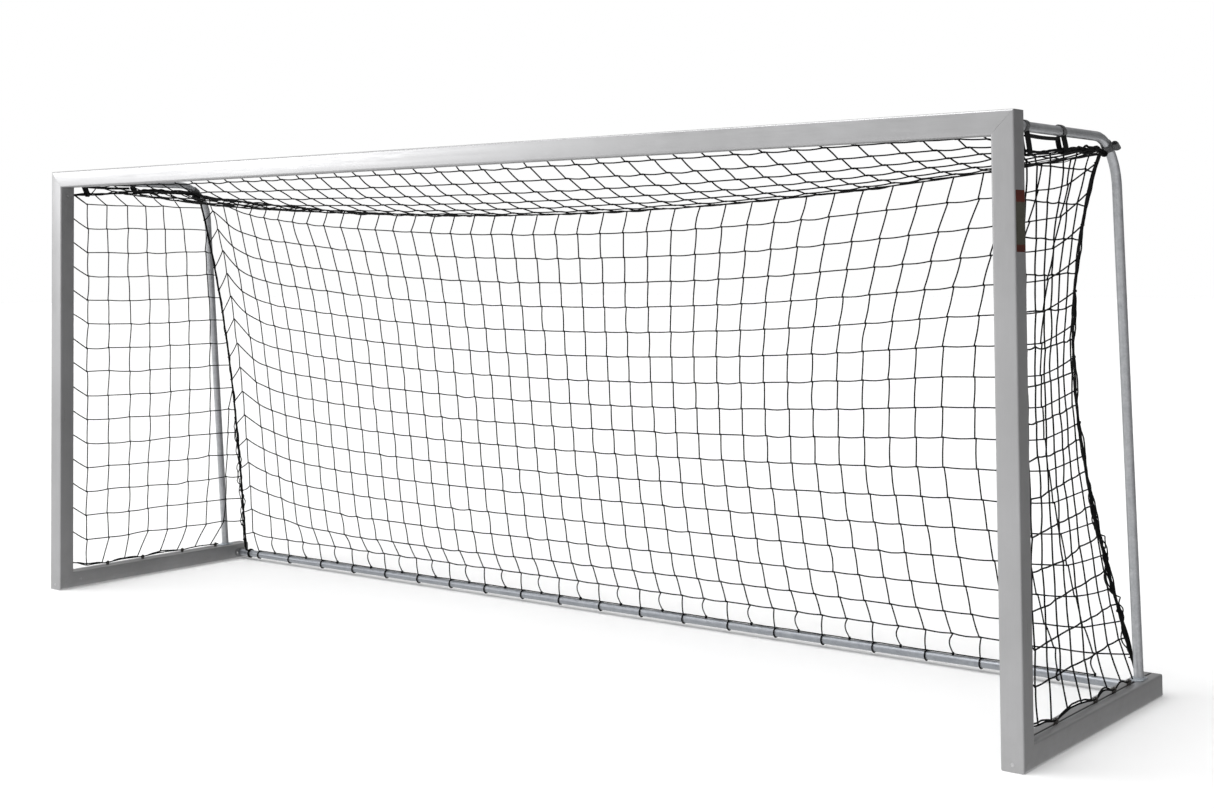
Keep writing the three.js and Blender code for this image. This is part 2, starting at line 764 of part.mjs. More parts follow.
// The same patch, drawn back from its edges so that neighbouring panels stay apart.
function inset(surface, marginU, marginV) {
  return (u, v) => surface(
    THREE.MathUtils.lerp(marginU, 1 - marginU, u),
    THREE.MathUtils.lerp(marginV, 1 - marginV, v),
  );
}

function buildNet() {
  const edge = NET.edgeGap + ROPE.border;
  const frontEdge = (u) => vector((2 * u - 1) * (CLEAR_WIDTH / 2 + 8), NET.frontY, NET.frontTopZ);
  const rearFoot = (u) => vector((2 * u - 1) * NET.cornerFootX, REAR_BAR.y - 4, NET.rearFootZ);
  const fold = (u) => foldPoint(2 * u - 1);
  const topSide = (sign) => (v) => mix(frontEdge(sign > 0 ? 1 : 0), foldPoint(sign), v);

  const topPanel = coonsPatch(frontEdge, fold, topSide(-1), topSide(1));
  const topDepth = NET.cornerY - NET.frontY;
  addPart('net_top_panel', sheet(inset(topPanel, edge / CLEAR_WIDTH, edge / topDepth), 20, 5), 'cord');

  const rearPanel = coonsPatch(rearFoot, fold, (v) => cornerPoint(-1, 1 - v), (v) => cornerPoint(1, 1 - v));
  const rearHeight = NET.cornerZ - NET.rearFootZ;
  addPart('net_rear_panel', sheet(inset(rearPanel, edge / CLEAR_WIDTH, edge / rearHeight), 20, 10), 'cord');

  for (const { name, sign } of SIDES) {
    const front = (v) => vector(sign * NET.sideX, NET.frontY, THREE.MathUtils.lerp(NET.sideFootZ, 1910, v));
    const rear = (v) => cornerPoint(sign, THREE.MathUtils.lerp(0.965, 0.012, v));
    const foot = (u) => mix(front(0), rear(0), u);
    const top = (u) => mix(front(1), rear(1), u);
    const panel = coonsPatch(foot, top, front, rear);
    const sideDepth = NET.cornerY - NET.frontY;
    addPart(`net_${name}_panel`, sheet(inset(panel, edge / sideDepth, edge / rearHeight), 6, 10), 'cord');
  }
}

function buildRopes() {
  const corner = (sign) => {
    const points = [];
    for (let i = 0; i <= 12; i += 1) points.push(cornerPoint(sign, i / 12));
    return points;
  };
  const fold = [];
  const foldEnd = 1 - 14 / NET.cornerX;
  for (let i = 0; i <= 16; i += 1) fold.push(foldPoint(foldEnd * (i / 8 - 1)));
  addPart('net_top_rope', rope(fold, ROPE.border, 20), 'cord');
  for (const { name, sign } of SIDES) {
    addPart(`${name}_corner_rope`, rope(corner(sign), ROPE.border, 16), 'cord');
    addPart(`${name}_foot_rope`, rope(footRopePoints(sign, HOOK_Y[name]), ROPE.border, 36), 'cord');
    addPart(`${name}_bundle_rope`, rope(bundlePoints(sign), ROPE.bundle, 10), 'cord');
  }
}

// -------------------------------------------------------------------- straps

// A webbing loop around the tube that also holds a rope hanging below it.
function hangingLoop(tubeRadius, ropeRadius, drop, width) {
  const outline = (path, grow, clockwise) => {
    const upper = tubeRadius + grow;
    const lower = ropeRadius + grow;
    const lean = Math.asin((upper - lower) / drop);
    if (clockwise) {
      path.absarc(0, 0, upper, Math.PI + lean, -lean, true);
      path.absarc(0, -drop, lower, -lean, Math.PI + lean, true);
    } else {
      path.absarc(0, 0, upper, -lean, Math.PI + lean, false);
      path.absarc(0, -drop, lower, Math.PI + lean, 2 * Math.PI - lean, false);
    }
    return path;
  };
  const shape = outline(new THREE.Shape(), GAP * 1.5 + STRAP.thickness, false);
  shape.holes.push(outline(new THREE.Path(), GAP * 1.5, true));
  return new THREE.ExtrudeGeometry(shape, { depth: width, steps: 1, bevelEnabled: false, curveSegments: 6 });
}

function strapAt(sign, y, z, angle, drop, ropeRadius, width, slack = 0) {
  const forward = vector(0, Math.cos(angle), -Math.sin(angle));
  const up = vector(0, Math.sin(angle), Math.cos(angle));
  const side = up.clone().cross(forward);
  const origin = vector(sign * POST_X, y, z).addScaledVector(forward, -width / 2);
  return place(hangingLoop(TUBE.radius + slack, ropeRadius, drop, width), side, up, forward, origin);
}

function buildStraps() {
  const { topZ } = BRACKET;
  const held = ROPE.bundle + STRAP.ropeSlack;
  for (const { name, sign } of SIDES) {
    const [, front, , middle] = bundlePoints(sign);
    const frontStrap = strapAt(sign, STRAP.frontY, topZ, 0, topZ - front.z, held, STRAP.width);
    addPart(`${name}_strap_front`, frontStrap, 'webbing');
    const middleStrap = strapAt(sign, STRAP.middleY, topZ, 0, topZ - middle.z, held, STRAP.wide);
    addPart(`${name}_strap_middle`, middleStrap, 'webbing');
    const bend = bracketBendPoint(STRAP.bendAngle);
    const turn = bend.angle + Math.PI;
    const loop = strapAt(sign, bend.y, bend.z, turn, STRAP.loop, ROPE.bundle, STRAP.width, STRAP.bendSlack);
    addPart(`${name}_strap_rear`, loop, 'webbing');
  }
}

buildFrame();
buildConnectors();
buildRearBar();
buildTrim();
buildHooks();
buildNet();
buildRopes();
buildStraps();

goal.position.y = -TOTAL_DEPTH / 2;

export default goal;
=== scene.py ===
import math

import bpy
import numpy as np
from mathutils import Matrix, Vector


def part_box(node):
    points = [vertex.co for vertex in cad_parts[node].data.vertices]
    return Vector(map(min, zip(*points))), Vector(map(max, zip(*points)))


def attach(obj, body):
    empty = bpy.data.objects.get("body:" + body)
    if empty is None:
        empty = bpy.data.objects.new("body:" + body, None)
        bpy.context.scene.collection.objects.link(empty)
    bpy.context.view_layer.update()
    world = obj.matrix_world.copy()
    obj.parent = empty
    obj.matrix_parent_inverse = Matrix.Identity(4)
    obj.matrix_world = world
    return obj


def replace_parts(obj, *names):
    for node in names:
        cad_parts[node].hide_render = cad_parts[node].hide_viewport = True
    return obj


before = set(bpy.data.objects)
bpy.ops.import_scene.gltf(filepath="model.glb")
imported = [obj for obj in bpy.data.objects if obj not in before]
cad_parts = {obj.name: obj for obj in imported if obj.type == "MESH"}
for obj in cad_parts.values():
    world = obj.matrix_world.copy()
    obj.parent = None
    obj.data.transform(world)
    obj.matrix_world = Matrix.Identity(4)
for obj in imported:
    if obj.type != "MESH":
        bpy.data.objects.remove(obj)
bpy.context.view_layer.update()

BODY = "goal_frame"
SIDES = (("left", -1), ("right", 1))
random = np.random.default_rng(7)


# ---------------------------------------------------------------- sizes in metres

def middle(node):
    lo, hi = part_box(node)
    return [(a + b) / 2 for a, b in zip(lo, hi)]


def half_width(node, axis):
    lo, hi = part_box(node)
    return (hi[axis] - lo[axis]) / 2


X, Y, Z = np.eye(3)
POST_X = middle("right_post")[0]
POST_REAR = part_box("right_post")[1][1]
BEAM_Z = middle("crossbar")[2]
BEAM_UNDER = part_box("crossbar")[0][2]
RAIL_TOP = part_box("right_ground_rail")[1][2]
BAR = middle("rear_ground_bar")
BAR_RADIUS = half_width("rear_ground_bar", 1)
FOLD_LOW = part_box("net_top_rope")[0][2] + 0.005
HOOK_RING_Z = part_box("right_net_hook_1")[1][2] - 0.0085
TUBE_RADIUS = half_width("right_net_bracket", 0)
TUBE_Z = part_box("right_net_bracket")[1][2] - TUBE_RADIUS    # middle line of the bracket's top run
CORNER = Vector((                                           # where the corner rope starts, for the right side
    POST_X - 0.028,
    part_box("right_corner_rope")[0][1] + 0.004,
    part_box("right_corner_rope")[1][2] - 0.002,
))

BEND_Y = 0.164           # where the bracket's top run ends and its bend starts
BEND_RADIUS = 0.19
BEND_STRAP = math.radians(33)    # how far round the bend the rear strap sits
CORD = 0.0029            # radius of a net cord
ROPE = 0.0040            # radius of the net's border rope
SATIN = 0.47             # grey of the anodised extrusions
JOINT = 0.010            # length over which two cords run together at a joint
COLUMNS = 41             # meshes along the crossbar
TOP_ROWS = 8             # meshes from the crossbar back to the fold
REAR_ROWS = 16           # meshes from the fold down to the bar
SIDE_ROWS = 15           # meshes down a side
SIDE_TOP = 1.92          # height of a side panel's first row of joints
SIDE_COLUMNS = (-0.406, -0.289, -0.169, -0.055, 0.059, 0.176, 0.300, 0.410)
MESH = 0.121             # height of a side panel's mesh
POST_TIE = 0.055         # how far above its row a side panel is held to the post
CLIP_OUT = 0.0135        # how far a net clip's ring sits behind the groove
HOOK_REACH = 0.034       # half the length of rope that a sliding hook can cover


# ---------------------------------------------------------------- camera and light

WORLD_BACK = (0.5, 0.85, 0)     # the dim side of the studio
WORLD_AROUND = [(0.0, 0.64), (0.25, 0.60), (0.6, 0.36), (1.0, 0.15)]
WORLD_HEIGHT = [(0.0, 0.95), (0.47, 0.95), (0.53, 0.62), (0.62, 0.66), (0.80, 1.0)]
WORLD_FLOOR = [(0.0, 0.62), (0.22, 0.60), (0.40, 0.0)]


def aim(location, yaw, pitch, roll):
    """A camera's matrix: yaw turns left from +Y, pitch up, roll about the view, in radians."""
    forward = Vector((-math.sin(yaw) * math.cos(pitch), math.cos(yaw) * math.cos(pitch), math.sin(pitch)))
    level = Vector((math.cos(yaw), math.sin(yaw), 0))
    upright = level.cross(forward)
    right = math.cos(roll) * level + math.sin(roll) * upright
    up = math.cos(roll) * upright - math.sin(roll) * level
    turn = Matrix((right, up, -forward)).transposed().to_4x4()
    return Matrix.Translation(location) @ turn


def add_camera():
    data = bpy.data.cameras.new("camera")
    data.sensor_width = 36
    data.lens = 50.68
    data.shift_x = 0.0148
    data.shift_y = -0.166
    data.clip_end = 300
    data.dof.use_dof = False
    camera = bpy.data.objects.new("camera", data)
    camera.matrix_world = aim((4.8709, -5.6481, 1.6076), 0.67037, 0.034328, -0.008105)
    bpy.context.scene.collection.objects.link(camera)
    bpy.context.scene.camera = camera


def add_light(name, kind, energy, location, direction):
    data = bpy.data.lights.new(name, kind)
    data.energy = energy
    light = bpy.data.objects.new(name, data)
    light.location = location
    light.rotation_euler = Vector(direction).to_track_quat("-Z", "Y").to_euler()
    bpy.context.scene.collection.objects.link(light)
    return data


def add_lights():
    """A broad sky light, and a soft panel to the front left that the crossbar mirrors."""
    sky = add_light("sky_light", "SUN", 1.9, (0, 0, 0), (0.30, 0.60, -1.5))
    sky.angle = math.radians(50)
    panel = add_light("wall_light", "AREA", 270, (-11.6, -9.0, 4.4), (11.1, 9.0, -1.8))
    panel.shape = "RECTANGLE"
    panel.size, panel.size_y = 4.2, 2.6


def fill_ramp(made, stops):
    """Sets a ramp node's stops, each (place, grey) or (place, (r, g, b))."""
    points = made.color_ramp.elements
    while len(points) < len(stops):
        points.new(0.5)
    for point, (where, colour) in zip(points, stops):
        rgb = colour if isinstance(colour, tuple) else (colour, colour, colour)
        point.position = where
        point.color = (*rgb, 1)
    return made


def add_world():
    """A studio that is bright in front and above, dim behind, with a darker band above the horizon."""
    world = bpy.data.worlds.new("studio")
    bpy.context.scene.world = world
    world.use_nodes = True
    tree = world.node_tree
    tree.nodes.clear()
    link = tree.links.new

    def node(kind, **settings):
        made = tree.nodes.new("ShaderNode" + kind)
        for key, value in settings.items():
            setattr(made, key, value)
        return made

    def ramp(value, stops):
        """A grey from a value between -1 and 1."""
        part = node("MapRange")
        part.inputs["From Min"].default_value = -1
        link(value, part.inputs["Value"])
        made = fill_ramp(node("ValToRGB"), stops)
        link(part.outputs[0], made.inputs[0])
        return made.outputs[0]

    def mix(kind, a, b):
        made = node("Mix", data_type="RGBA", blend_type=kind)
        made.inputs[0].default_value = 1
        link(a, made.inputs[6])
        link(b, made.inputs[7])
        return made.outputs[2]

    way = node("TexCoord").outputs["Generated"]
    facing = node("VectorMath", operation="DOT_PRODUCT")
    facing.inputs[1].default_value = WORLD_BACK
    split = node("SeparateXYZ")
    link(way, facing.inputs[0])
    link(way, split.inputs[0])
    height = split.outputs["Z"]
    walls = mix("MULTIPLY", ramp(facing.outputs["Value"], WORLD_AROUND), ramp(height, WORLD_HEIGHT))
    lit, seen, shown = node("Background"), node("Background"), node("MixShader")
    lit.inputs["Strength"].default_value = 1.6
    seen.inputs["Color"].default_value = (1, 1, 1, 1)
    link(mix("LIGHTEN", walls, ramp(height, WORLD_FLOOR)), lit.inputs["Color"])
    link(node("LightPath").outputs["Is Camera Ray"], shown.inputs[0])
    link(lit.outputs[0], shown.inputs[1])
    link(seen.outputs[0], shown.inputs[2])
    link(shown.outputs[0], node("OutputWorld").inputs[0])


# ---------------------------------------------------------------- materials

class Shader:
    """A material's node tree, with the few kinds of node used here."""

    def __init__(self, name, **sockets):
        self.material = bpy.data.materials.new(name)
        self.material.use_nodes = True
        self.tree = self.material.node_tree
        self.out = self.tree.nodes["Principled BSDF"]
        for key, value in sockets.items():
            self.out.inputs[key.replace("_", " ").title().replace("Ior", "IOR")].default_value = value

    def node(self, kind, **inputs):
        made = self.tree.nodes.new("ShaderNode" + kind)
        for key, value in inputs.items():
            made.inputs[key].default_value = value
        return made

    def link(self, a, b):
        self.tree.links.new(a, b)
        return b

    def feed(self, socket, value):
        """Sets a socket to a number or a colour, or links another node's output to it."""
        if isinstance(value, tuple):
            socket.default_value = (*value, 1)
        elif isinstance(value, (int, float)):
            socket.default_value = value
        else:
            self.link(value, socket)

    def place(self, stretch=(1, 1, 1), source="Object"):
        coords = self.node("TexCoord")
        mapping = self.node("Mapping", Scale=stretch)
        self.link(coords.outputs[source], mapping.inputs["Vector"])
        return mapping.outputs[0]

    def noise(self, scale, detail, roughness, stretch=(1, 1, 1)):
        made = self.node("TexNoise", Scale=scale, Detail=detail, Roughness=roughness)
        self.link(self.place(stretch), made.inputs["Vector"])
        return made.outputs["Fac"]

    def cells(self, scale):
        made = self.node("TexVoronoi", Scale=scale)
        self.link(self.place(), made.inputs["Vector"])
        return made.outputs["Color"]

    def wave(self, scale, direction, distortion):
        made = self.node("TexWave", Scale=scale, Distortion=distortion)
        made.bands_direction = direction
        self.link(self.place(source="UV"), made.inputs["Vector"])
        return made.outputs["Fac"]

    def ramp(self, fac, stops):
        made = fill_ramp(self.node("ValToRGB"), stops)
        self.link(fac, made.inputs["Fac"])
        return made.outputs["Color"]

    def grey(self, fac, low, high, start=0.3, end=0.7):
        made = self.node("MapRange")
        for key, value in (("From Min", start), ("From Max", end), ("To Min", low), ("To Max", high)):
            made.inputs[key].default_value = value
        self.link(fac, made.inputs["Value"])
        return made.outputs[0]

    def mix(self, kind, fac, a, b):
        made = self.tree.nodes.new("ShaderNodeMix")
        made.data_type = "RGBA"
        made.blend_type = kind
        for value, key in ((fac, 0), (a, 6), (b, 7)):
            self.feed(made.inputs[key], value)
        return made.outputs[2]

    def math(self, kind, a, b):
        made = self.tree.nodes.new("ShaderNodeMath")
        made.operation = kind
        self.feed(made.inputs[0], a)
        self.feed(made.inputs[1], b)
        return made.outputs[0]

    def height(self):
        split = self.node("SeparateXYZ")
        self.link(self.place(), split.inputs[0])
        return split.outputs["Z"]

    def bump(self, height, depth, before=None):
        made = self.node("Bump", Strength=1.0, Distance=depth)
        self.link(height, made.inputs["Height"])
        if before is not None:
            self.link(before, made.inputs["Normal"])
        self.link(made.outputs[0], self.out.inputs["Normal"])
        return made.outputs[0]

    def base(self, colour):
        self.link(colour, self.out.inputs["Base Color"])

    def rough(self, value):
        self.link(value, self.out.inputs["Roughness"])


def stretched(along, amount):
    """A texture scale that draws a pattern out along one axis."""
    return tuple(amount if i == along else 1 for i in range(3))


def drawn_aluminium(name, along):
    """Satin anodised extrusion: die lines along it, soft clouds, thin scratches, a little dust low down."""
    shader = Shader(name, metallic=0.9)
    stretch = stretched(along, 0.02)
    lines = shader.noise(420, 4, 0.6, stretch)
    broad = shader.noise(60, 2, 0.5, stretch)
    cloud = shader.noise(3.2, 4, 0.6)
    marks = shader.noise(900, 2, 0.5, stretched(along, 0.06))
    dark, light = SATIN * 0.93, SATIN * 1.07
    colour = shader.ramp(cloud, [(0.25, (dark, dark, dark * 1.01)), (0.75, (light, light, light * 1.015))])
    colour = shader.mix("MULTIPLY", 0.7, colour, shader.grey(lines, 0.95, 1.03))
    colour = shader.mix("MULTIPLY", 0.6, colour, shader.grey(marks, 1.0, 0.82, 0.66, 0.74))
    dust = shader.grey(shader.height(), 0.12, 0.0, 0.0, 0.25)
    patch = shader.grey(shader.noise(24, 5, 0.65), 0.0, 1.0, 0.42, 0.62)
    colour = shader.mix("MIX", shader.math("MULTIPLY", dust, patch), colour, (0.26, 0.25, 0.235))
    shader.base(colour)
    rough = shader.math("ADD", shader.grey(lines, 0.30, 0.42), shader.grey(broad, -0.03, 0.05))
    shader.rough(shader.math("ADD", rough, shader.grey(cloud, -0.03, 0.05)))
    first = shader.bump(lines, 0.00006)
    shader.bump(marks, 0.00003, first)
    return shader.material


def galvanised(name, dark=(0.40, 0.41, 0.43), light=(0.55, 0.56, 0.575)):
    """Zinc-coated steel tube: faint spangle, grey-blue mottling, dull rub marks."""
    shader = Shader(name, metallic=0.85)
    spangle = shader.node("SeparateColor")
    shader.link(shader.cells(140), spangle.inputs[0])
    mottle = shader.noise(26, 6, 0.7)
    cloud = shader.noise(5, 3, 0.6)
    colour = shader.ramp(mottle, [(0.3, dark), (0.7, light)])
    colour = shader.mix("MULTIPLY", 0.35, colour, shader.grey(spangle.outputs[0], 0.82, 1.12, 0, 1))
    rub = shader.grey(shader.noise(70, 3, 0.6, (1, 0.15, 1)), 0.0, 1.0, 0.66, 0.78)
    colour = shader.mix("MIX", rub, colour, (0.42, 0.43, 0.44))
    shader.base(colour)
    shader.rough(shader.math("ADD", shader.grey(mottle, 0.30, 0.50), shader.grey(cloud, -0.04, 0.06)))
    first = shader.bump(spangle.outputs[0], 0.00002)
    shader.bump(shader.noise(260, 4, 0.7), 0.00008, first)
    return shader.material


def cast_alloy(name):
    """Die-cast fitting: fine pitted skin, darker than the extrusions."""
    shader = Shader(name, metallic=0.85)
    grain = shader.noise(900, 4, 0.7)
    cloud = shader.noise(34, 4, 0.6)
    colour = shader.ramp(cloud, [(0.3, (0.22, 0.22, 0.225)), (0.72, (0.34, 0.34, 0.345))])
    shader.base(shader.mix("MULTIPLY", 0.5, colour, shader.grey(grain, 0.8, 1.1)))
    shader.rough(shader.grey(grain, 0.42, 0.62))
    shader.bump(grain, 0.00010)
    return shader.material


def zinc_screw(name):
    """Bright zinc-plated screw: turning marks and a few dull spots."""
    shader = Shader(name, metallic=0.95)
    turned = shader.noise(700, 3, 0.6)
    cloud = shader.noise(120, 4, 0.6)
    colour = shader.ramp(cloud, [(0.3, (0.52, 0.52, 0.53)), (0.75, (0.72, 0.72, 0.72))])
    spot = shader.grey(shader.noise(260, 3, 0.6), 0.0, 0.7, 0.64, 0.72)
    shader.base(shader.mix("MIX", spot, colour, (0.19, 0.15, 0.12)))
    shader.rough(shader.grey(turned, 0.24, 0.40))
    shader.bump(turned, 0.00004)
    return shader.material


def moulded(name, dark, light, rough=0.5, depth=0.00006):
    """Moulded plastic: fine spark-eroded grain, slow tone changes, paler scuffs."""
    shader = Shader(name, metallic=0.0)
    grain = shader.noise(1400, 2, 0.5)
    cloud = shader.noise(45, 4, 0.6)
    colour = shader.ramp(cloud, [(0.3, dark), (0.7, light)])
    scuff = shader.grey(shader.noise(180, 5, 0.7, (1, 0.3, 1)), 0.0, 0.55, 0.62, 0.74)
    pale = tuple(min(1, c * 2.2 + 0.03) for c in light)
    shader.base(shader.mix("MIX", scuff, colour, pale))
    shader.rough(shader.grey(grain, rough - 0.06, rough + 0.1))
    shader.bump(grain, depth)
    return shader.material


def twine(name, dark=(0.0015, 0.0015, 0.0017), light=(0.006, 0.006, 0.0065), lay=3.0, depth=0.0004):
    """Black cord: slanting lay of the yarns, matt fuzz and faded patches."""
    shader = Shader(name, metallic=0.0, specular_ior_level=0.12)
    strands = shader.wave(lay, "DIAGONAL", 0.4)
    fuzz = shader.noise(1600, 3, 0.6)
    fade = shader.noise(7, 4, 0.6)
    colour = shader.ramp(strands, [(0.15, dark), (0.8, light)])
    shader.base(shader.mix("MULTIPLY", 0.6, colour, shader.grey(fade, 0.7, 1.25)))
    shader.rough(shader.grey(fuzz, 0.58, 0.78))
    first = shader.bump(strands, depth)
    shader.bump(fuzz, 0.00008, first)
    return shader.material


def webbing(name, dark, light, sheen=0.1):
    """Woven strap: warp ribs along it, weft across, a matt nylon face."""
    shader = Shader(name, metallic=0.0, sheen_weight=sheen, sheen_roughness=0.45, specular_ior_level=0.2)
    ribs = shader.wave(160, "Y", 0.15)
    picks = shader.wave(210, "X", 0.25)
    weave = shader.math("MULTIPLY", ribs, picks)
    wear = shader.noise(60, 4, 0.65)
    colour = shader.ramp(weave, [(0.05, dark), (0.8, light)])
    shader.base(shader.mix("MULTIPLY", 0.6, colour, shader.grey(wear, 0.7, 1.3)))
    shader.rough(shader.grey(wear, 0.62, 0.82))
    shader.bump(weave, 0.0005)
    return shader.material


def floor_material():
    """Plain pale paper with the faintest mottling."""
    shader = Shader("studio_floor", metallic=0.0, specular_ior_level=0.15)
    soft = shader.noise(2.5, 3, 0.5)
    shader.base(shader.ramp(soft, [(0.3, (0.93, 0.93, 0.93)), (0.7, (0.945, 0.945, 0.945))]))
    shader.rough(shader.grey(soft, 0.85, 0.92))
    return shader.material


# ---------------------------------------------------------------- mesh helpers

def link_piece(obj, material):
    obj.data.materials.append(material)
    bpy.context.scene.collection.objects.link(obj)
    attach(obj, BODY)
    return obj


def mesh_from(name, verts, quads, uvs, material):
    """One mesh object from arrays: verts (n,3), quads (m,4), uvs (m*4,2)."""
    mesh = bpy.data.meshes.new(name)
    mesh.vertices.add(len(verts))
    mesh.vertices.foreach_set("co", np.ascontiguousarray(verts, dtype=np.float32).ravel())
    mesh.loops.add(quads.size)
    mesh.loops.foreach_set("vertex_index", np.ascontiguousarray(quads, dtype=np.int32).ravel())
    mesh.polygons.add(len(quads))
    mesh.polygons.foreach_set("loop_start", np.arange(len(quads), dtype=np.int32) * 4)
    mesh.update(calc_edges=True)
    layer = mesh.uv_layers.new(name="UVMap")
    layer.data.foreach_set("uv", np.ascontiguousarray(uvs, dtype=np.float32).ravel())
    mesh.shade_smooth()
    mesh.validate()
    return link_piece(bpy.data.objects.new(name, mesh), material)


def points_at(x, y, z):
    """Points from their coordinates, any of which may be one number."""
    return np.stack(np.broadcast_arrays(x, y, z), axis=-1)


def circle(centre, a, b, angles, size):
    """Points round a centre, in the plane of the directions a and b."""
    return np.asarray(centre) + np.outer(np.cos(angles), a) * size + np.outer(np.sin(angles), b) * size


def unit(v):
    return v / (np.linalg.norm(v, axis=-1, keepdims=True) + 1e-12)


def distance_along(points):
    return np.concatenate([[0], np.cumsum(np.linalg.norm(np.diff(points, axis=0), axis=1))])


def fan(ring):
    """Quads that close rings of point numbers, (sides,) or (m, sides)."""
    half = ring.shape[-1] // 2
    quads = [[ring[..., i], ring[..., i + 1], ring[..., -2 - i], ring[..., -1 - i]] for i in range(half - 1)]
    return np.concatenate([np.stack(quad, axis=-1).reshape(-1, 4) for quad in quads])


class Tubes:
    """Collects many tubes of the same ring size into one mesh."""

    def __init__(self, sides=6):
        self.sides = sides
        self.verts, self.quads, self.uvs = [], [], []
        self.count = 0

    def add(self, lines, radius, lobes=0, pitch=0.03, flat=1.0):
        """Tubes round (k, 3) or (m, k, 3) points; radius is a number or (m, k); lobes twist as strands."""
        lines = np.asarray(lines, float)
        if lines.ndim == 2:
            lines = lines[None]
        m, k, _ = lines.shape
        radius = np.broadcast_to(np.asarray(radius, float), (m, k))
        step = np.linalg.norm(np.diff(lines, axis=1), axis=2)
        length = np.concatenate([np.zeros((m, 1)), np.cumsum(step, axis=1)], axis=1)
        turn = np.arange(self.sides) / self.sides * 2 * math.pi
        angle = np.broadcast_to(turn, (m, k, self.sides))
        ring = radius[..., None] * np.ones_like(angle)
        if lobes:
            phase = length[..., None] / pitch * 2 * math.pi
            ring = ring * (0.80 + 0.24 * np.abs(np.cos(lobes / 2 * (angle - phase))))
        along = unit(np.gradient(lines, axis=1))
        across = self._frames(along)
        third = np.cross(along, across)
        points = (
            lines[:, :, None, :]
            + (ring * np.cos(angle))[..., None] * across[:, :, None, :]
            + (ring * np.sin(angle) * flat)[..., None] * third[:, :, None, :]
        )
        self.verts.append(points.reshape(-1, 3))
        self._skin(m, k, length, turn, 2 * math.pi * radius.mean())

    def _skin(self, m, k, length, turn, around):
        """Quads along the newest m tubes of k rings, with their places on the yarn, and both ends closed."""
        index = np.arange(m * k * self.sides).reshape(m, k, self.sides) + self.count
        after = np.roll(index, -1, axis=2)
        skin = np.stack([index[:, :-1], after[:, :-1], after[:, 1:], index[:, 1:]], axis=-1)
        shape = (m, k - 1, self.sides)
        u0 = np.broadcast_to(length[:, :-1, None], shape)
        u1 = np.broadcast_to(length[:, 1:, None], shape)
        v0 = np.broadcast_to(turn / (2 * math.pi) * around, shape)
        v1 = v0 + around / self.sides
        uvs = np.stack([np.stack(p, -1) for p in ((u0, v0), (u0, v1), (u1, v1), (u1, v0))], axis=-2)
        caps = np.concatenate([fan(index[:, 0])[:, ::-1], fan(index[:, -1])])
        self.quads += [skin.reshape(-1, 4), caps]
        self.uvs += [uvs.reshape(-1, 2) * 1000, np.zeros((len(caps) * 4, 2))]
        self.count += m * k * self.sides

    @staticmethod
    def _frames(along):
        """A sideways direction for each point, carried along each line without twist."""
        start = along[:, 0]
        guide = np.where(np.abs(start[:, 2:3]) < 0.8, [[0.0, 0.0, 1.0]], [[1.0, 0.0, 0.0]])
        side = np.cross(guide, start)
        side /= np.linalg.norm(side, axis=1, keepdims=True)
        sides = [side]
        for i in range(1, along.shape[1]):
            side = side - (side * along[:, i]).sum(1, keepdims=True) * along[:, i]
            side = side / (np.linalg.norm(side, axis=1, keepdims=True) + 1e-12)
            sides.append(side)
        return np.stack(sides, axis=1)

    def build(self, name, material):
        verts = np.concatenate(self.verts)
        quads = np.concatenate(self.quads)
        uvs = np.concatenate(self.uvs)
        return mesh_from(name, verts, quads, uvs, material)


def smooth_path(points, count):
    """A Catmull-Rom curve through the points, resampled to even steps."""
    points = np.asarray(points, float)
    padded = np.vstack([2 * points[0] - points[1], points, 2 * points[-1] - points[-2]])
    t = np.linspace(0, 1, 24, endpoint=False)[:, None]
    fine = [
        0.5 * (2 * b + (c - a) * t + (2 * a - 5 * b + 4 * c - d) * t ** 2 + (3 * b - a - 3 * c + d) * t ** 3)
        for a, b, c, d in zip(padded, padded[1:], padded[2:], padded[3:])
    ]
    fine = np.vstack(fine + [points[-1:]])
    run = distance_along(fine)
    at = np.linspace(0, run[-1], count)
    return np.stack([np.interp(at, run, fine[:, i]) for i in range(3)], axis=1)


def wander(points, amount, wavelength=0.12):
    """Slow sideways drift of a rope, none at its ends."""
    run = distance_along(points)
    fade = np.sqrt(np.clip(np.sin(np.pi * run / run[-1]), 0, 1))
    drift = np.zeros_like(points)
    for order in (1, 2.3, 4.1):
        phase = random.uniform(0, 6.28, 3)
        drift += np.sin(run[:, None] / wavelength * 6.28 / 2 * order + phase) / order
    return points + drift * amount * fade[:, None]


# ---------------------------------------------------------------- the net's shape

def hang(points, fixed, rest_across, rest_down, steps, rounds=12):
    """Lets a grid of cords hang: each mesh side can go slack but can't stretch."""
    here = points.copy()
    before = points.copy()
    free = (~fixed)[..., None].astype(float)
    fall = np.array([0, 0, -9.81 * 0.01 ** 2])
    pairs = []
    for axis, rest in ((0, rest_across), (1, rest_down)):
        for parity in (0, 1):
            span = here.shape[axis] - 1
            index = np.arange(parity, span, 2)
            pairs.append((axis, index, np.take(rest, index, axis=axis)[..., None]))
    for _ in range(steps):
        speed = (here - before) * 0.94
        before = here.copy()
        here = here + (speed + fall) * free
        for _ in range(rounds):
            for axis, index, rest in pairs:
                a = np.take(here, index, axis=axis)
                b = np.take(here, index + 1, axis=axis)
                wa = np.take(free, index, axis=axis)
                wb = np.take(free, index + 1, axis=axis)
                gap = b - a
                size = np.linalg.norm(gap, axis=2, keepdims=True) + 1e-12
                excess = np.maximum(size - rest, 0) / size / np.maximum(wa + wb, 1)
                if axis == 0:
                    here[index] = a + gap * excess * wa
                    here[index + 1] = b - gap * excess * wb
                else:
                    here[:, index] = a + gap * excess * wa
                    here[:, index + 1] = b - gap * excess * wb
    return here


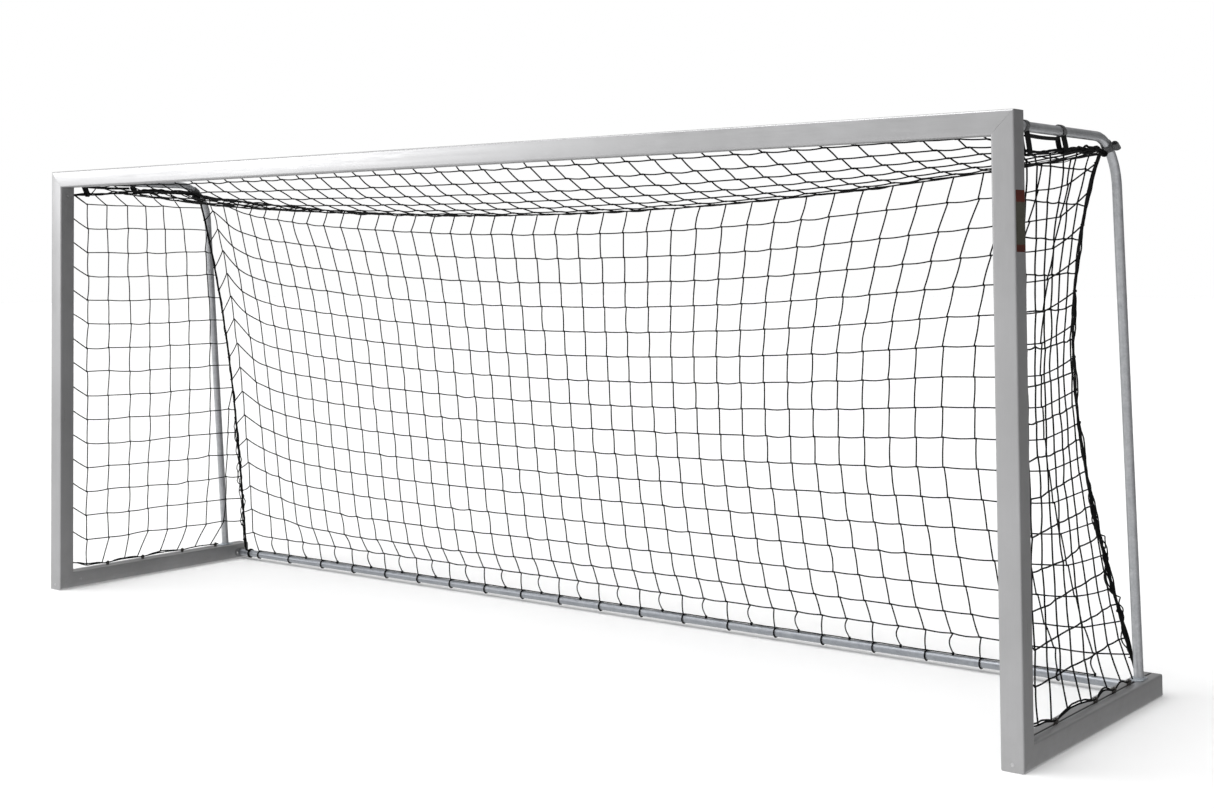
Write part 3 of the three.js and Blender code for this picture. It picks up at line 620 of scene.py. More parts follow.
def fold_line(t):
    """The gathered line where the net turns from the top to the rear: t from -1 to 1."""
    sag = 1 - t * t
    return points_at(t * CORNER[0], CORNER[1] - 0.004 * sag, CORNER[2] - (CORNER[2] - FOLD_LOW) * sag)


def corner_line(sign, s):
    """The rear corner rope: s from 0 at the bend strap to 1 at its foot."""
    foot_x = POST_X - (0.024 if sign > 0 else 0.123)
    foot_z = RAIL_TOP + 0.012 if sign > 0 else BAR[2] + BAR_RADIUS + 0.004
    foot = np.array([sign * foot_x, BAR[1] - 0.035, foot_z])
    top = np.array([sign * CORNER[0], CORNER[1], CORNER[2]])
    s = np.asarray(s, float)
    drawn = (0.150 if sign > 0 else 0.085) * np.sin(np.pi * s ** 0.85)
    line = top + (foot - top) * s[..., None]
    line[..., 0] -= sign * drawn
    line[..., 1] -= 0.010 * np.sin(np.pi * s)
    return line


def corner_at(sign, z):
    """The point of the corner rope at height z."""
    line = corner_line(sign, np.linspace(0, 1, 300))
    order = np.argsort(line[:, 2])
    return np.stack([np.interp(z, line[order, 2], line[order, a]) for a in range(3)], axis=-1)


def corner_knots(sign):
    """Where the rear rows meet the corner rope, bunched towards the bend strap."""
    z = np.array([CORNER[2], 1.945, 1.845, 1.725, 1.605 if sign > 0 else 1.589])
    z = np.append(z, z[-1] - 0.1205 * np.arange(1, REAR_ROWS - 3))
    knots = corner_at(sign, z)
    knots[0] = (sign * CORNER[0], CORNER[1], CORNER[2])
    return knots


def bundle_point(sign, y):
    """The gathered edge of the top panel below the bracket tube."""
    stops = [-0.504, -0.44, -0.30, -0.145, 0.04, 0.19, CORNER[1]]
    heights = [1.944, 1.950, 1.957, 1.968, 1.980, 1.993, CORNER[2] + 0.012]
    z = np.interp(y, stops, heights) + (0.020 if sign < 0 else 0) * np.interp(y, [0.04, 0.19], [1, 0])
    x = np.interp(y, [0.10, CORNER[1]], [POST_X, CORNER[0]])
    return points_at(sign * x, y, z)


def column_places():
    """Where each column crosses the fold, from -1 to 1: closer together towards the left corner."""
    order = np.arange(COLUMNS + 1)
    places = np.interp(order, [0, 8, 14, 25, 37, COLUMNS], [-1, -0.646, -0.351, 0.206, 0.825, 1])
    for _ in range(4):
        places[1:-1] = (places[:-2] + 2 * places[1:-1] + places[2:]) / 4
    return places


def top_panel():
    """The top net: tied along the crossbar, gathered at its sides and hung from the fold."""
    i = np.linspace(-1, 1, COLUMNS + 1)
    front = points_at(i * (POST_X - 0.042), POST_REAR + 0.011, BEAM_Z - 0.006)
    back = fold_line(column_places())
    t = np.linspace(0, 1, TOP_ROWS + 1)
    grid = front[:, None] * (1 - t[None, :, None]) + back[:, None] * t[None, :, None]
    grid[..., 2] -= 0.04 * np.sin(np.pi * t)[None, :]
    for side, sign in ((0, -1), (-1, 1)):
        edge = np.linspace(POST_REAR + 0.03, CORNER[1], TOP_ROWS + 1)
        grid[side] = bundle_point(sign, edge)
    grid[0, 0, 2] = grid[-1, 0, 2] = BEAM_Z - 0.05
    fixed = np.zeros(grid.shape[:2], bool)
    fixed[0] = fixed[-1] = True
    fixed[:, 0] = fixed[:, -1] = True
    span = np.linalg.norm(back - front, axis=1) * 1.012 / TOP_ROWS
    down = np.repeat(span[:, None], TOP_ROWS, axis=1)
    down *= np.array([0.86] + [1.03] * (TOP_ROWS - 2) + [0.96])[None, :]
    across = np.full((COLUMNS, TOP_ROWS + 1), 2 * POST_X / COLUMNS * 1.004)
    return hang(grid, fixed, across, down, steps=260)


def rear_panel():
    """The rear net: its columns crowd inwards below the fold, and its left edge hangs on links."""
    t = column_places()
    top = fold_line(t)
    s = np.linspace(0, 1, REAR_ROWS + 1)
    left, right = corner_knots(-1), corner_knots(1)
    foot = points_at(top[:, 0], BAR[1] - 0.022, BAR[2] + BAR_RADIUS + 0.088)
    grid = top[:, None] * (1 - s[None, :, None]) + foot[:, None] * s[None, :, None]
    order, row = np.arange(COLUMNS + 1), np.arange(REAR_ROWS + 1)
    drawn = 1 - 0.082 * (1 - np.exp(-np.maximum(row - 1, 0) / 2.8))
    step = np.where(row > 0, np.exp(-np.maximum(row - 1, 0) / 2.5), 0)
    guides = [0, 1, 8, 14, 25, 37, COLUMNS]
    shift = [0, 0, 0.050, 0.050, 0.032, 0.020, 0]
    lean = np.interp(row, [0, 3, 6, 10, REAR_ROWS], [0, 0.30, 0.85, 1, 0])
    leaning = [0, 0, 0, 0, 0.030, 0.085, 0]
    for j in row[1:]:
        x = top[guides, 0] * drawn[j] - np.array(shift) * step[j] - np.array(leaning) * lean[j]
        x[0], x[1], x[-1] = left[j, 0], left[j, 0] + 0.070, right[j, 0]
        grid[:, j, 0] = np.interp(order, guides, x)
    grid[0], grid[-1] = left, right
    lift = np.interp(row, [0, 2, 4, 7, 10, REAR_ROWS], [0, 0.05, 0.092, 0.088, 0.060, 0.015])
    grid[1, 1:, 1:] = left[1:, 1:]
    grid[1, 1:, 2] += lift[1:]
    fixed = np.zeros(grid.shape[:2], bool)
    fixed[:2] = fixed[-1] = True
    fixed[:, 0] = fixed[:, -1] = True
    x, straight = grid[..., 0].copy(), grid[..., 1].copy()
    span = np.linalg.norm(np.diff(grid, axis=1), axis=2).sum(1) * 1.002
    first = np.interp(top[:, 0], [-2.5, -1.6, -0.9, 0.5, 2.1], [0.060, 0.080, 0.083, 0.093, 0.096])
    down = np.repeat(((span - first) / (REAR_ROWS - 1))[:, None], REAR_ROWS, axis=1)
    down[:, 0] = first
    across = np.linalg.norm(np.diff(grid, axis=0)[..., :2], axis=2) * 1.012
    hung = hang(grid, fixed, across, down, steps=420)
    hung[..., 0] = hung[..., 0] * 0.25 + x * 0.75
    hung[2:-1, 1:, 1] = hung[2:-1, 1:, 1] * 0.45 + straight[2:-1, 1:] * 0.55
    return hung


def row_direction(grid):
    return unit(np.gradient(grid, axis=0))


def sagging(a, b, count=5, drop=0.0022, stray=0.0016):
    """Cords from a to b, both (m, 3), with a little slack in each."""
    t = np.linspace(0, 1, count)[None, :, None]
    lines = a[:, None] * (1 - t) + b[:, None] * t
    bow = np.sin(np.pi * t)
    lines = lines + bow * random.normal(0, stray, (len(a), 1, 3))
    lines[..., 2] -= bow[..., 0] * drop
    return lines


def joints(tubes, centres, direction, length):
    """The short thick runs where two cords are worked together."""
    t = np.linspace(-0.62, 0.62, 6)[None, :, None]
    lines = centres[:, None] + direction[:, None] * length * t
    lines = lines + random.normal(0, 0.0002, lines.shape)
    swell = CORD * np.array([0.85, 1.25, 1.42, 1.38, 1.25, 0.85])
    tubes.add(lines, np.repeat(swell[None], len(centres), axis=0))


def knit(grid, name, material, joint_rows, joint):
    """Skins a grid of joints with cords: rows run through the joints, columns step sideways at each."""
    tubes = Tubes(6)
    way = row_direction(grid)
    half = way * joint / 2
    for j in range(1, grid.shape[1]):
        tubes.add(sagging(grid[:-1, j] + half[:-1, j], grid[1:, j] - half[1:, j]), CORD)
    for i in range(1, grid.shape[0] - 1):
        tubes.add(sagging(grid[i, :-1] + half[i, :-1], grid[i, 1:] - half[i, 1:], drop=0.0008), CORD)
    inner = [(i, j) for j in joint_rows for i in range(1, grid.shape[0] - 1)]
    rows, cols = np.array(inner).T
    joints(tubes, grid[rows, cols], way[rows, cols], max(joint, JOINT))
    return tubes.build(name, material)


# ---------------------------------------------------------------- pieces

def rope(tubes, points, radius=ROPE, count=None, drift=0.0):
    """A laid three-strand rope through the points; returns its middle line."""
    points = np.asarray(points, float)
    line = smooth_path(points, count or max(12, int(distance_along(points)[-1] / 0.008)))
    if drift:
        line = wander(line, drift)
    tubes.add(line, radius, lobes=3, pitch=radius * 7)
    return line


def strands(tubes, line, count, step, apart, radius, drift):
    """Ropes laid beside a line, each a step in radians further round it."""
    for n in range(count):
        offset = np.array([math.cos(n * step), 0, math.sin(n * step)]) * apart
        rope(tubes, line + offset, radius, drift=drift)


def side_joints(sign, heights, columns):
    """A side panel's joints by row and column, drawn in towards the corner rope."""
    nodes = {}
    for b, z in enumerate(heights):
        end = corner_at(sign, z)
        for c, y in enumerate(columns):
            if y > end[1] - 0.03:
                continue
            u = (y - POST_REAR) / (end[1] - POST_REAR)
            x = POST_X + (abs(end[0]) - POST_X) * u ** 1.25 - 0.006 * math.sin(math.pi * u)
            drop = 0.010 * math.sin(math.pi * u) * math.sin(math.pi * (b + 1) / SIDE_ROWS)
            nodes[b, c] = np.array([sign * x, y, z - drop]) + random.normal(0, 0.0022, 3)
    return nodes


def chain(first, joints_on_way, last, half):
    """The cords from one place through some joints to another, each as (start, end)."""
    starts = [first] + [joint + half for joint in joints_on_way]
    ends = [joint - half for joint in joints_on_way] + [last]
    return list(zip(starts, ends))


def side_column_head(sign, y, c, below):
    """Where a side column starts: on the gathered edge, or on the corner rope further back."""
    if y < CORNER[1] - 0.02:
        return bundle_point(sign, y - 0.062 + 0.02 * (c > 4)) - 0.006 * Z
    return corner_at(sign, min(below[2] + 0.105, CORNER[2] - 0.03))


def net_side(sign, name, material):
    """A side net: rows from the post to the corner rope, columns from above down to the foot rope."""
    columns = np.array(SIDE_COLUMNS)
    if sign < 0:
        columns = columns - np.linspace(0.014, 0.040, len(columns))
    heights = SIDE_TOP - MESH * np.arange(SIDE_ROWS)
    nodes = side_joints(sign, heights, columns)
    half = 0.002 * Y
    cords = []
    for b, z in enumerate(heights):
        row = [nodes[b, c] for c in range(len(columns)) if (b, c) in nodes]
        post = np.array([sign * POST_X, POST_REAR + 0.011, z + POST_TIE])
        cords += chain(post, row, corner_at(sign, z - 0.006), half)
    for c, y in enumerate(columns):
        column = [nodes[b, c] for b in range(SIDE_ROWS) if (b, c) in nodes]
        foot_y = clear_of_hooks(sign, min(y + 0.004, 0.50))
        foot = np.array([sign * POST_X, foot_y, foot_rope_height(sign, foot_y) + 0.001])
        cords += chain(side_column_head(sign, y, c, column[0]), column, foot, half)
    tubes = Tubes(6)
    starts, ends = (np.array(places) for places in zip(*cords))
    tubes.add(sagging(starts, ends, drop=0.0014), CORD)
    centres = np.array(list(nodes.values()))
    joints(tubes, centres, np.repeat(Y[None], len(centres), axis=0), JOINT)
    return tubes.build(name, material)


def hook_places(sign):
    side = "right" if sign > 0 else "left"
    return [middle(f"{side}_net_hook_{n}")[1] for n in range(1, 5)]


def clear_of_hooks(sign, y):
    """A place on the foot rope near y that a sliding hook does not reach."""
    for place in hook_places(sign):
        if abs(y - place) < HOOK_REACH:
            return place + math.copysign(HOOK_REACH, y - place)
    return y


def foot_rope_points(sign):
    """The side's foot rope: down from the post, level through each ring and slack in between."""
    points = [(POST_REAR + 0.012, 0.030), (POST_REAR + 0.05, 0.022)]
    last, rise, ring = POST_REAR + 0.05, 0.014 if sign > 0 else 0.004, 0.019
    for y in hook_places(sign):
        span = y - ring - last
        if span > 0.06:
            points += [(last + span * 0.33, rise), (last + span * 0.66, rise * 0.85)]
        points += [(y - ring, 0.0006), (y, 0), (y + ring, 0.0006)]
        last = y + ring
    return [(sign * POST_X, y, HOOK_RING_Z + above) for y, above in points]


def foot_rope_height(sign, y):
    points = np.array(foot_rope_points(sign))
    return float(np.interp(y, points[:, 1], points[:, 2]))


def bar_ties(grid, material):
    """The rear net's foot: a rope on the bar, and each column tied round the bar or that rope in turn."""
    tubes = Tubes(6)
    feet = grid[1:-1, -1]
    rope_y, rope_z = BAR[1] - 0.004, BAR[2] + BAR_RADIUS + 0.0042
    edge = points_at(np.linspace(feet[0, 0], feet[-1, 0], 120), rope_y, rope_z)
    tubes.add(wander(edge, 0.0006), CORD * 0.8)
    round_bar = (BAR[1], BAR[2], BAR_RADIUS + CORD * 0.9, math.pi * 0.62, 0.004)
    round_rope = (rope_y, rope_z, CORD * 1.75, math.pi * 0.5, 0.016)
    turn = np.linspace(0, 2 * math.pi, 30)
    for n, foot in enumerate(feet):
        x = foot[0] + random.normal(0, 0.004)
        y, z, reach, start, bow = round_rope if n % 2 else round_bar
        loop = circle((x, y, z), Y, Z, start + turn, reach) + np.outer(np.linspace(-0.001, 0.001, 30), X)
        bend = np.outer(np.sin(np.linspace(0, math.pi, 8)), (-bow, 0, 0.002))
        lead = (np.linspace(foot + JOINT / 2 * X, loop[0], 8) + bend)[:-1]
        tubes.add(np.vstack([lead, loop]), CORD)
    return tubes.build("net_bar_ties", material)


def clip_ring(tubes, x, z):
    """A moulded net clip: a foot in the groove, a neck and an open ring behind it."""
    centre = np.array([x, POST_REAR + CLIP_OUT, z])
    tubes.add(circle(centre, Y, Z, np.linspace(0.35, 2 * math.pi - 0.35, 16), 0.0062), 0.0019)
    neck = np.linspace(centre - 0.006 * Y, centre - 0.0125 * Y, 4)
    tubes.add(neck, np.array([[0.0021, 0.0026, 0.0034, 0.0034]]))
    foot = centre - 0.0105 * Y
    widths = np.array([[0.0022, 0.0032, 0.0034, 0.0032, 0.0022]])
    tubes.add(np.linspace(foot - 0.008 * X, foot + 0.008 * X, 5), widths, flat=0.6)


def groove_clips(material, top):
    """The net clips along the grooves of the crossbar and the posts."""
    tubes = Tubes(8)
    inside = POST_X - 0.15
    for i, x in enumerate(top[:, 0, 0]):
        clip_ring(tubes, np.clip(x, -inside, inside) if i in (0, COLUMNS) else x, BEAM_Z)
    tubes.build("crossbar_net_clips", material)
    for name, sign in SIDES:
        tubes = Tubes(8)
        for b in range(SIDE_ROWS):
            clip_ring(tubes, sign * POST_X, SIDE_TOP - MESH * b + POST_TIE)
        tubes.build(f"{name}_post_net_clips", material)


def strap_section(width, thickness):
    """A band's outline, thinner at its edges: (across, out) points over its face and back under it."""
    across = np.linspace(-0.5, 0.5, 7)
    edge = 1 - np.maximum(0, np.abs(across) - 0.42) / 0.08 * 0.55
    face = np.stack([across * width, thickness / 2 * edge], axis=-1)
    return np.vstack([face, (face * (1, -1))[::-1]])


def strap(name, line, across, width, material, thickness):
    """A woven band along a line of points; across is the direction of its width."""
    along = unit(np.gradient(line, axis=0))
    across = np.broadcast_to(np.asarray(across, float), line.shape)
    across = unit(across - (across * along).sum(1, keepdims=True) * along)
    out = np.cross(along, across)
    section = strap_section(width, thickness)
    points = line[:, None] + across[:, None] * section[None, :, :1] + out[:, None] * section[None, :, 1:]
    index = np.arange(len(line) * len(section)).reshape(len(line), len(section))
    after = np.roll(index, -1, axis=1)
    skin = np.stack([index[:-1], index[1:], after[1:], after[:-1]], axis=-1).reshape(-1, 4)
    round_it = distance_along(section)
    round_it = np.append(round_it, round_it[-1] + thickness)
    place = np.stack(np.meshgrid(distance_along(line), round_it, indexing="ij"), axis=-1)
    uvs = np.stack([place[:-1, :-1], place[1:, :-1], place[1:, 1:], place[:-1, 1:]], axis=-2).reshape(-1, 2)
    caps = np.concatenate([fan(index[0]), fan(index[-1])[:, ::-1]])
    quads = np.vstack([skin, caps])
    uvs = np.vstack([uvs, np.zeros((len(caps) * 4, 2))])
    return mesh_from(name, points.reshape(-1, 3), quads, uvs, material)


def band_round(centre, tangent, out, radius, turns, skew=0.0, loop=0.0):
    """A band's line round a tube, starting at out; loop pulls its start out into an eye."""
    tangent = np.asarray(tangent, float)
    side = np.cross(tangent, out)
    angle = np.linspace(0, turns * 2 * math.pi, int(46 * turns))
    layer = radius + 0.0023 * np.clip((angle - 2 * math.pi + 0.5) / 0.5, 0, 1)
    line = circle(centre, out, side, angle, layer[:, None]) + np.outer(skew * np.cos(angle), tangent)
    if loop:
        turn = np.linspace(0.12 * math.pi, 1.88 * math.pi, 22)
        reach = np.outer(radius + 0.002 + loop / 2 * (1 - np.cos(turn)), out)
        eye = centre + reach - np.outer(0.0095 * np.sin(turn) * (1 + 0.2 * np.cos(turn)), side)
        line = np.vstack([eye, line[1:]])
    return smooth_path(line, 120)


def hanging_loop(sign, top_y, foot, radius=0.0115):
    """A tape's line: down one side from the tube, under the gathered net and up the other side."""
    x, top_z = sign * POST_X, TUBE_Z - TUBE_RADIUS + 0.001
    half_y, half_z = (top_y + foot[0]) / 2, (top_z + foot[1]) / 2
    under = np.linspace(0, math.pi, 11)
    arc = [(x - radius * math.cos(a), foot[0], foot[1] - radius * math.sin(a)) for a in under]
    down = [(x - 0.011, top_y, top_z), (x - 0.012, half_y, half_z)]
    up = [(x + 0.012, half_y, half_z), (x + 0.011, top_y, top_z)]
    return smooth_path(down + arc + up, 60)


def hanging_strap(name, sign, place, skew, materials):
    """A webbing wrap round the bracket tube, with a tape under it that holds the gathered net."""
    cad = f"{name}_strap_{place}"
    y = middle(cad)[1]
    foot_y = y + 0.024
    wrap = band_round((sign * POST_X, y, TUBE_Z), Y, Z, TUBE_RADIUS + 0.0012, 1.16, skew)
    drop = hanging_loop(sign, y + 0.002, (foot_y, bundle_point(sign, foot_y)[2]))
    piece = strap(f"{name}_{place}_strap_wrap", wrap, Y, 0.024, materials["strap"], 0.0022)
    across = (0.35 * sign, 0.94, 0)
    tape = strap(f"{name}_{place}_strap_tape", drop, across, 0.023, materials["tape"], 0.0030)
    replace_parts(piece, cad)
    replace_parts(tape, cad)


def strap_link(name, sign, material):
    """The tape that runs under the tube from the front strap to the middle one."""
    ends = (middle(f"{name}_strap_front")[1] + 0.012, middle(f"{name}_strap_middle")[1] - 0.014)
    sag = np.sin(np.linspace(0, math.pi, 16)) * 0.003
    line = points_at(sign * POST_X, np.linspace(*ends, 16), TUBE_Z - TUBE_RADIUS - 0.009 - sag)
    strap(f"{name}_strap_link", smooth_path(line, 60), (sign * 0.6, 0, 0.8), 0.014, material, 0.0034)


def rear_strap(name, sign, material):
    """The wrap round the bracket's bend, with its eye on the outer side."""
    sin, cos = math.sin(BEND_STRAP), math.cos(BEND_STRAP)
    centre = np.array([sign * POST_X, BEND_Y + BEND_RADIUS * sin, TUBE_Z - BEND_RADIUS * (1 - cos)])
    tangent = (0, cos, -sin)
    wrap = band_round(centre, tangent, sign * X, TUBE_RADIUS + 0.0016, 1.12, loop=0.024)
    piece = strap(f"{name}_rear_strap_wrap", wrap, tangent, 0.032, material, 0.0026)
    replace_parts(piece, f"{name}_strap_rear")


def straps(materials):
    for name, sign in SIDES:
        hanging_strap(name, sign, "front", 0.004, materials)
        hanging_strap(name, sign, "middle", -0.010, materials)
        strap_link(name, sign, materials["tape"])
        rear_strap(name, sign, materials["strap"])


def gathered_edge(name, sign, material):
    """The top panel's side edge, gathered in the straps below the bracket."""
    tubes = Tubes(12)
    core = bundle_point(sign, np.linspace(POST_REAR + 0.014, -0.10 if sign > 0 else 0.19, 12))
    strands(tubes, core, 3 if sign < 0 else 2, 2.1, 0.0034, 0.0034, 0.0025)
    thick = bundle_point(sign, np.linspace(-0.13, CORNER[1] - 0.02, 12))
    strands(tubes, thick, 6, 1.05, 0.0070, 0.0042, 0.0045)
    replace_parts(tubes.build(f"{name}_gathered_edge", material), f"{name}_bundle_rope")


def corner_lump(name, sign, material):
    """The net bunched at the bend: strands that climb to the rear strap, and a tangle of turns."""
    tubes = Tubes(12)
    top = np.array([sign * (POST_X - 0.016), CORNER[1] - 0.006, CORNER[2] + 0.004])
    for n in range(4):
        cos, sin = math.cos(n * 1.7), math.sin(n * 1.7)
        offset = np.array([cos * 0.004, sin * 0.003, sin * 0.004])
        low, half_way = bundle_point(sign, 0.17) + offset, bundle_point(sign, 0.22) + offset * 1.3
        climb = [low, half_way, top + offset * 2.0]
        rope(tubes, climb, 0.0036, count=20, drift=0.001)
    centre = np.array([sign * (POST_X - 0.012), CORNER[1], CORNER[2] + 0.002])
    count, scale = (26, 1.7) if sign < 0 else (9, 1.0)
    for _ in range(count):
        normal = unit(random.normal(0, 1, 3))
        a = unit(np.cross(normal, (0.3, 0.8, 0.5)))
        size = random.uniform(0.006, 0.014) * scale
        middle_at = centre + random.normal(0, 0.003, 3)
        ring = circle(middle_at, a, np.cross(normal, a) * 0.8, np.linspace(0, 2 * math.pi, 22), size)
        tubes.add(ring, 0.0032, lobes=3, pitch=0.02)
    tubes.build(f"{name}_corner_lump", material)


def loose_knots(tubes, sign):
    """Small turns of cord that stand off the corner rope near its foot."""
    for at in (0.70, 0.76, 0.83, 0.88, 0.93, 0.97):
        knot = corner_line(sign, at) + random.normal(0, 0.003, 3)
        size = random.uniform(0.006, 0.010)
        flat = unit(random.normal(0, 1, 3))
        across = unit(np.cross(flat, (0.2, 0.3, 0.9)))
        ring = circle(knot, across, np.cross(flat, across), np.linspace(0, 2 * math.pi, 20), size)
        tubes.add(ring, 0.0024)


def turns_round_bar(tubes, sign):
    """The corner rope's end: two turns round the rear bar."""
    foot = corner_line(sign, 1.0)
    turn = np.linspace(0, 2 * math.pi * 2.1, 50) + math.pi * 0.62
    lap = circle((foot[0], BAR[1], BAR[2]), Y, Z, turn, BAR_RADIUS + 0.0036)
    lap += np.outer(np.linspace(-0.004, 0.006, 50) * sign, X)
    tubes.add(np.vstack([np.linspace(foot, lap[0], 6)[:-1], lap]), 0.0034)


def corner_lacing(name, sign, material):
    """The rear corner rope, with the rear rows knotted on it and strands that part near its foot."""
    tubes = Tubes(12)
    core = corner_line(sign, np.linspace(0.0, 1.0, 26))
    rope(tubes, core, ROPE, drift=0.0012)
    rope(tubes, core + np.array([sign * 0.003, 0.005, 0]), 0.0030, drift=0.003)
    rope(tubes, core + np.array([-sign * 0.005, 0.001, 0]), 0.0028, drift=0.002)
    turn = np.linspace(0, 2 * math.pi * 1.3, 18)
    for knot in corner_knots(sign)[1:REAR_ROWS]:
        tubes.add(circle(knot, X, Y, turn, 0.0058) + np.outer(turn / 6.0, 0.004 * Z), 0.0021)
    low = corner_line(sign, np.linspace(0.62, 0.99, 16))
    for _ in range(3):
        rope(tubes, low + random.normal(0, 0.003, 3), 0.0026, drift=0.011)
    loose_knots(tubes, sign)
    turns_round_bar(tubes, sign)
    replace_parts(tubes.build(f"{name}_corner_lacing", material), f"{name}_corner_rope")


def foot_line(name, sign, material):
    """The foot rope through the hooks' rings, with a second strand between them."""
    tubes = Tubes(12)
    line = rope(tubes, foot_rope_points(sign), 0.0031)
    stops = [POST_REAR + 0.02] + hook_places(sign)
    rise = np.array([-0.001, 0, 0.0085 if sign > 0 else 0.0055])
    for a, b in zip(stops[:3], stops[1:]):
        reach = line[(line[:, 1] > a + 0.022) & (line[:, 1] < b - 0.026)]
        apart = np.clip(np.sin(np.linspace(0, math.pi, len(reach))), 0, 1)[:, None] ** 0.4
        rope(tubes, reach + apart * rise, 0.0032, drift=0.0015)
    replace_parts(tubes.build(f"{name}_foot_line", material), f"{name}_foot_rope")


def groove_rope(name, line, drift, material):
    """The thin rope that runs through the net clips of one groove."""
    tubes = Tubes(12)
    rope(tubes, wander(line, drift), 0.0024)
    tubes.build(name, material)


def fold_rope(material):
    """The rope in the fold, with extra strands where the net crowds towards the corners."""
    tubes = Tubes(12)
    rope(tubes, fold_line(np.linspace(-1, 1, 70)), CORD, drift=0.0012)
    for n, reach in enumerate((0.50, 0.66, 0.78, 0.86)):
        lift = np.array([0, 0.003 * math.cos(n * 1.7), 0.004 * math.sin(n * 1.7)])
        rope(tubes, fold_line(-np.linspace(1, reach, 24)) + lift, 0.0032, drift=0.0025)
    for n, reach in enumerate((0.70, 0.86)):
        lift = np.array([0, 0.003, 0.005 - 0.009 * n])
        rope(tubes, fold_line(np.linspace(1, reach, 16)) + lift, 0.0015, drift=0.003)
    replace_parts(tubes.build("net_fold_rope", material), "net_top_rope")


def edge_ropes(material):
    """Every rope that edges the net, and the net bunched at the bend straps."""
    for name, sign in SIDES:
        gathered_edge(name, sign, material)
        corner_lump(name, sign, material)
        corner_lacing(name, sign, material)
        foot_line(name, sign, material)
        heights = np.linspace(BEAM_UNDER - 0.05, RAIL_TOP + 0.05, 40)
        line = points_at(sign * POST_X, POST_REAR + 0.0125, heights)
        groove_rope(f"{name}_post_edge_rope", line, 0.0010, material)
    fold_rope(material)
    line = points_at(np.linspace(-POST_X + 0.05, POST_X - 0.05, 90), POST_REAR + CLIP_OUT, BEAM_Z)
    groove_rope("crossbar_edge_rope", line, 0.0008, material)


def net(materials):
    """The whole net: four panels, the ties and clips that hold it, and its ropes."""
    top, rear = top_panel(), rear_panel()
    cords = knit(top, "net_top_cords", materials["twine"], range(1, TOP_ROWS), 0.014)
    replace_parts(cords, "net_top_panel")
    cords = knit(rear, "net_rear_cords", materials["twine"], range(1, REAR_ROWS + 1), 0.006)
    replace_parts(cords, "net_rear_panel")
    for name, sign in SIDES:
        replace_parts(net_side(sign, f"net_{name}_cords", materials["twine"]), f"net_{name}_panel")
    bar_ties(rear, materials["rope"])
    groove_clips(materials["clip"], top)
    edge_ropes(materials["rope"])


# ---------------------------------------------------------------- the CAD nodes kept as they are

def finish_node(node, material, bevel=0.0006, angle=35):
    """Joins a CAD node's faces, rounds its edges a little, shades it smooth and gives it a material."""
    obj = bpy.data.objects[node]
    mesh = obj.data
    mesh.materials.clear()
    mesh.materials.append(material)
    for name in ("custom_normal", "sharp_edge"):
        if name in mesh.attributes:
            mesh.attributes.remove(mesh.attributes[name])
    mesh.shade_smooth()
    joined = obj.modifiers.new("joined", "WELD")
    joined.merge_threshold = 0.00002
    edge = obj.modifiers.new("edge", "BEVEL")
    edge.width = bevel
    edge.segments = 2
    edge.limit_method = "ANGLE"
    edge.angle_limit = math.radians(angle)
    edge.harden_normals = True


def finish_frame():
    """Gives every CAD node that stays its material and its small edge radius."""
    along = {axis: drawn_aluminium(f"anodised_{axis}", i) for i, axis in enumerate("xyz")}
    tube = galvanised("galvanised_tube")
    cast = cast_alloy("cast_connector")
    screw = zinc_screw("zinc_screw")
    cap = moulded("end_cap_plastic", (0.16, 0.165, 0.17), (0.23, 0.235, 0.24), 0.5)
    hook = moulded("hook_plastic", (0.012, 0.010, 0.009), (0.035, 0.028, 0.024), 0.38)
    plate = moulded("foot_plate_plastic", (0.30, 0.33, 0.36), (0.40, 0.43, 0.46), 0.45)
    finish_node("crossbar", along["x"], 0.0005)
    bar = galvanised("galvanised_bar", (0.25, 0.265, 0.29), (0.37, 0.385, 0.41))
    finish_node("rear_ground_bar", bar, 0.0003)
    for side, _ in SIDES:
        finish_node(f"{side}_post", along["z"], 0.0005)
        finish_node(f"{side}_ground_rail", along["y"], 0.0005)
        finish_node(f"{side}_net_bracket", tube, 0.0004)
        finish_node(f"{side}_rear_bar_socket", cast, 0.0008)
        for part in ("top_corner_connector", "bottom_corner_connector"):
            finish_node(f"{side}_{part}", cast, 0.0006)
        for part in ("post_corner_screw", "crossbar_corner_screw", "front_foot_screw", "rail_corner_screw",
                     "socket_screw_front", "socket_screw_rear"):
            finish_node(f"{side}_{part}", screw, 0.0003)
        finish_node(f"{side}_rail_end_cap", cap, 0.0008)
        finish_node(f"{side}_bracket_foot_plate", plate, 0.0005)
        for n in range(1, 5):
            finish_node(f"{side}_net_hook_{n}", hook, 0.0004, 50)


def rounded_outline(y0, y1, z0, z1, corner):
    """A rectangle's outline with rounded corners, as (y, z) points."""
    outline = []
    for cy, cz, start in ((y1 - corner, z1 - corner, 0), (y0 + corner, z1 - corner, 90),
                          (y0 + corner, z0 + corner, 180), (y1 - corner, z0 + corner, 270)):
        for angle in np.radians(start + 18 * np.arange(6)):
            outline.append((cy + corner * math.cos(angle), cz + corner * math.sin(angle)))
    return outline


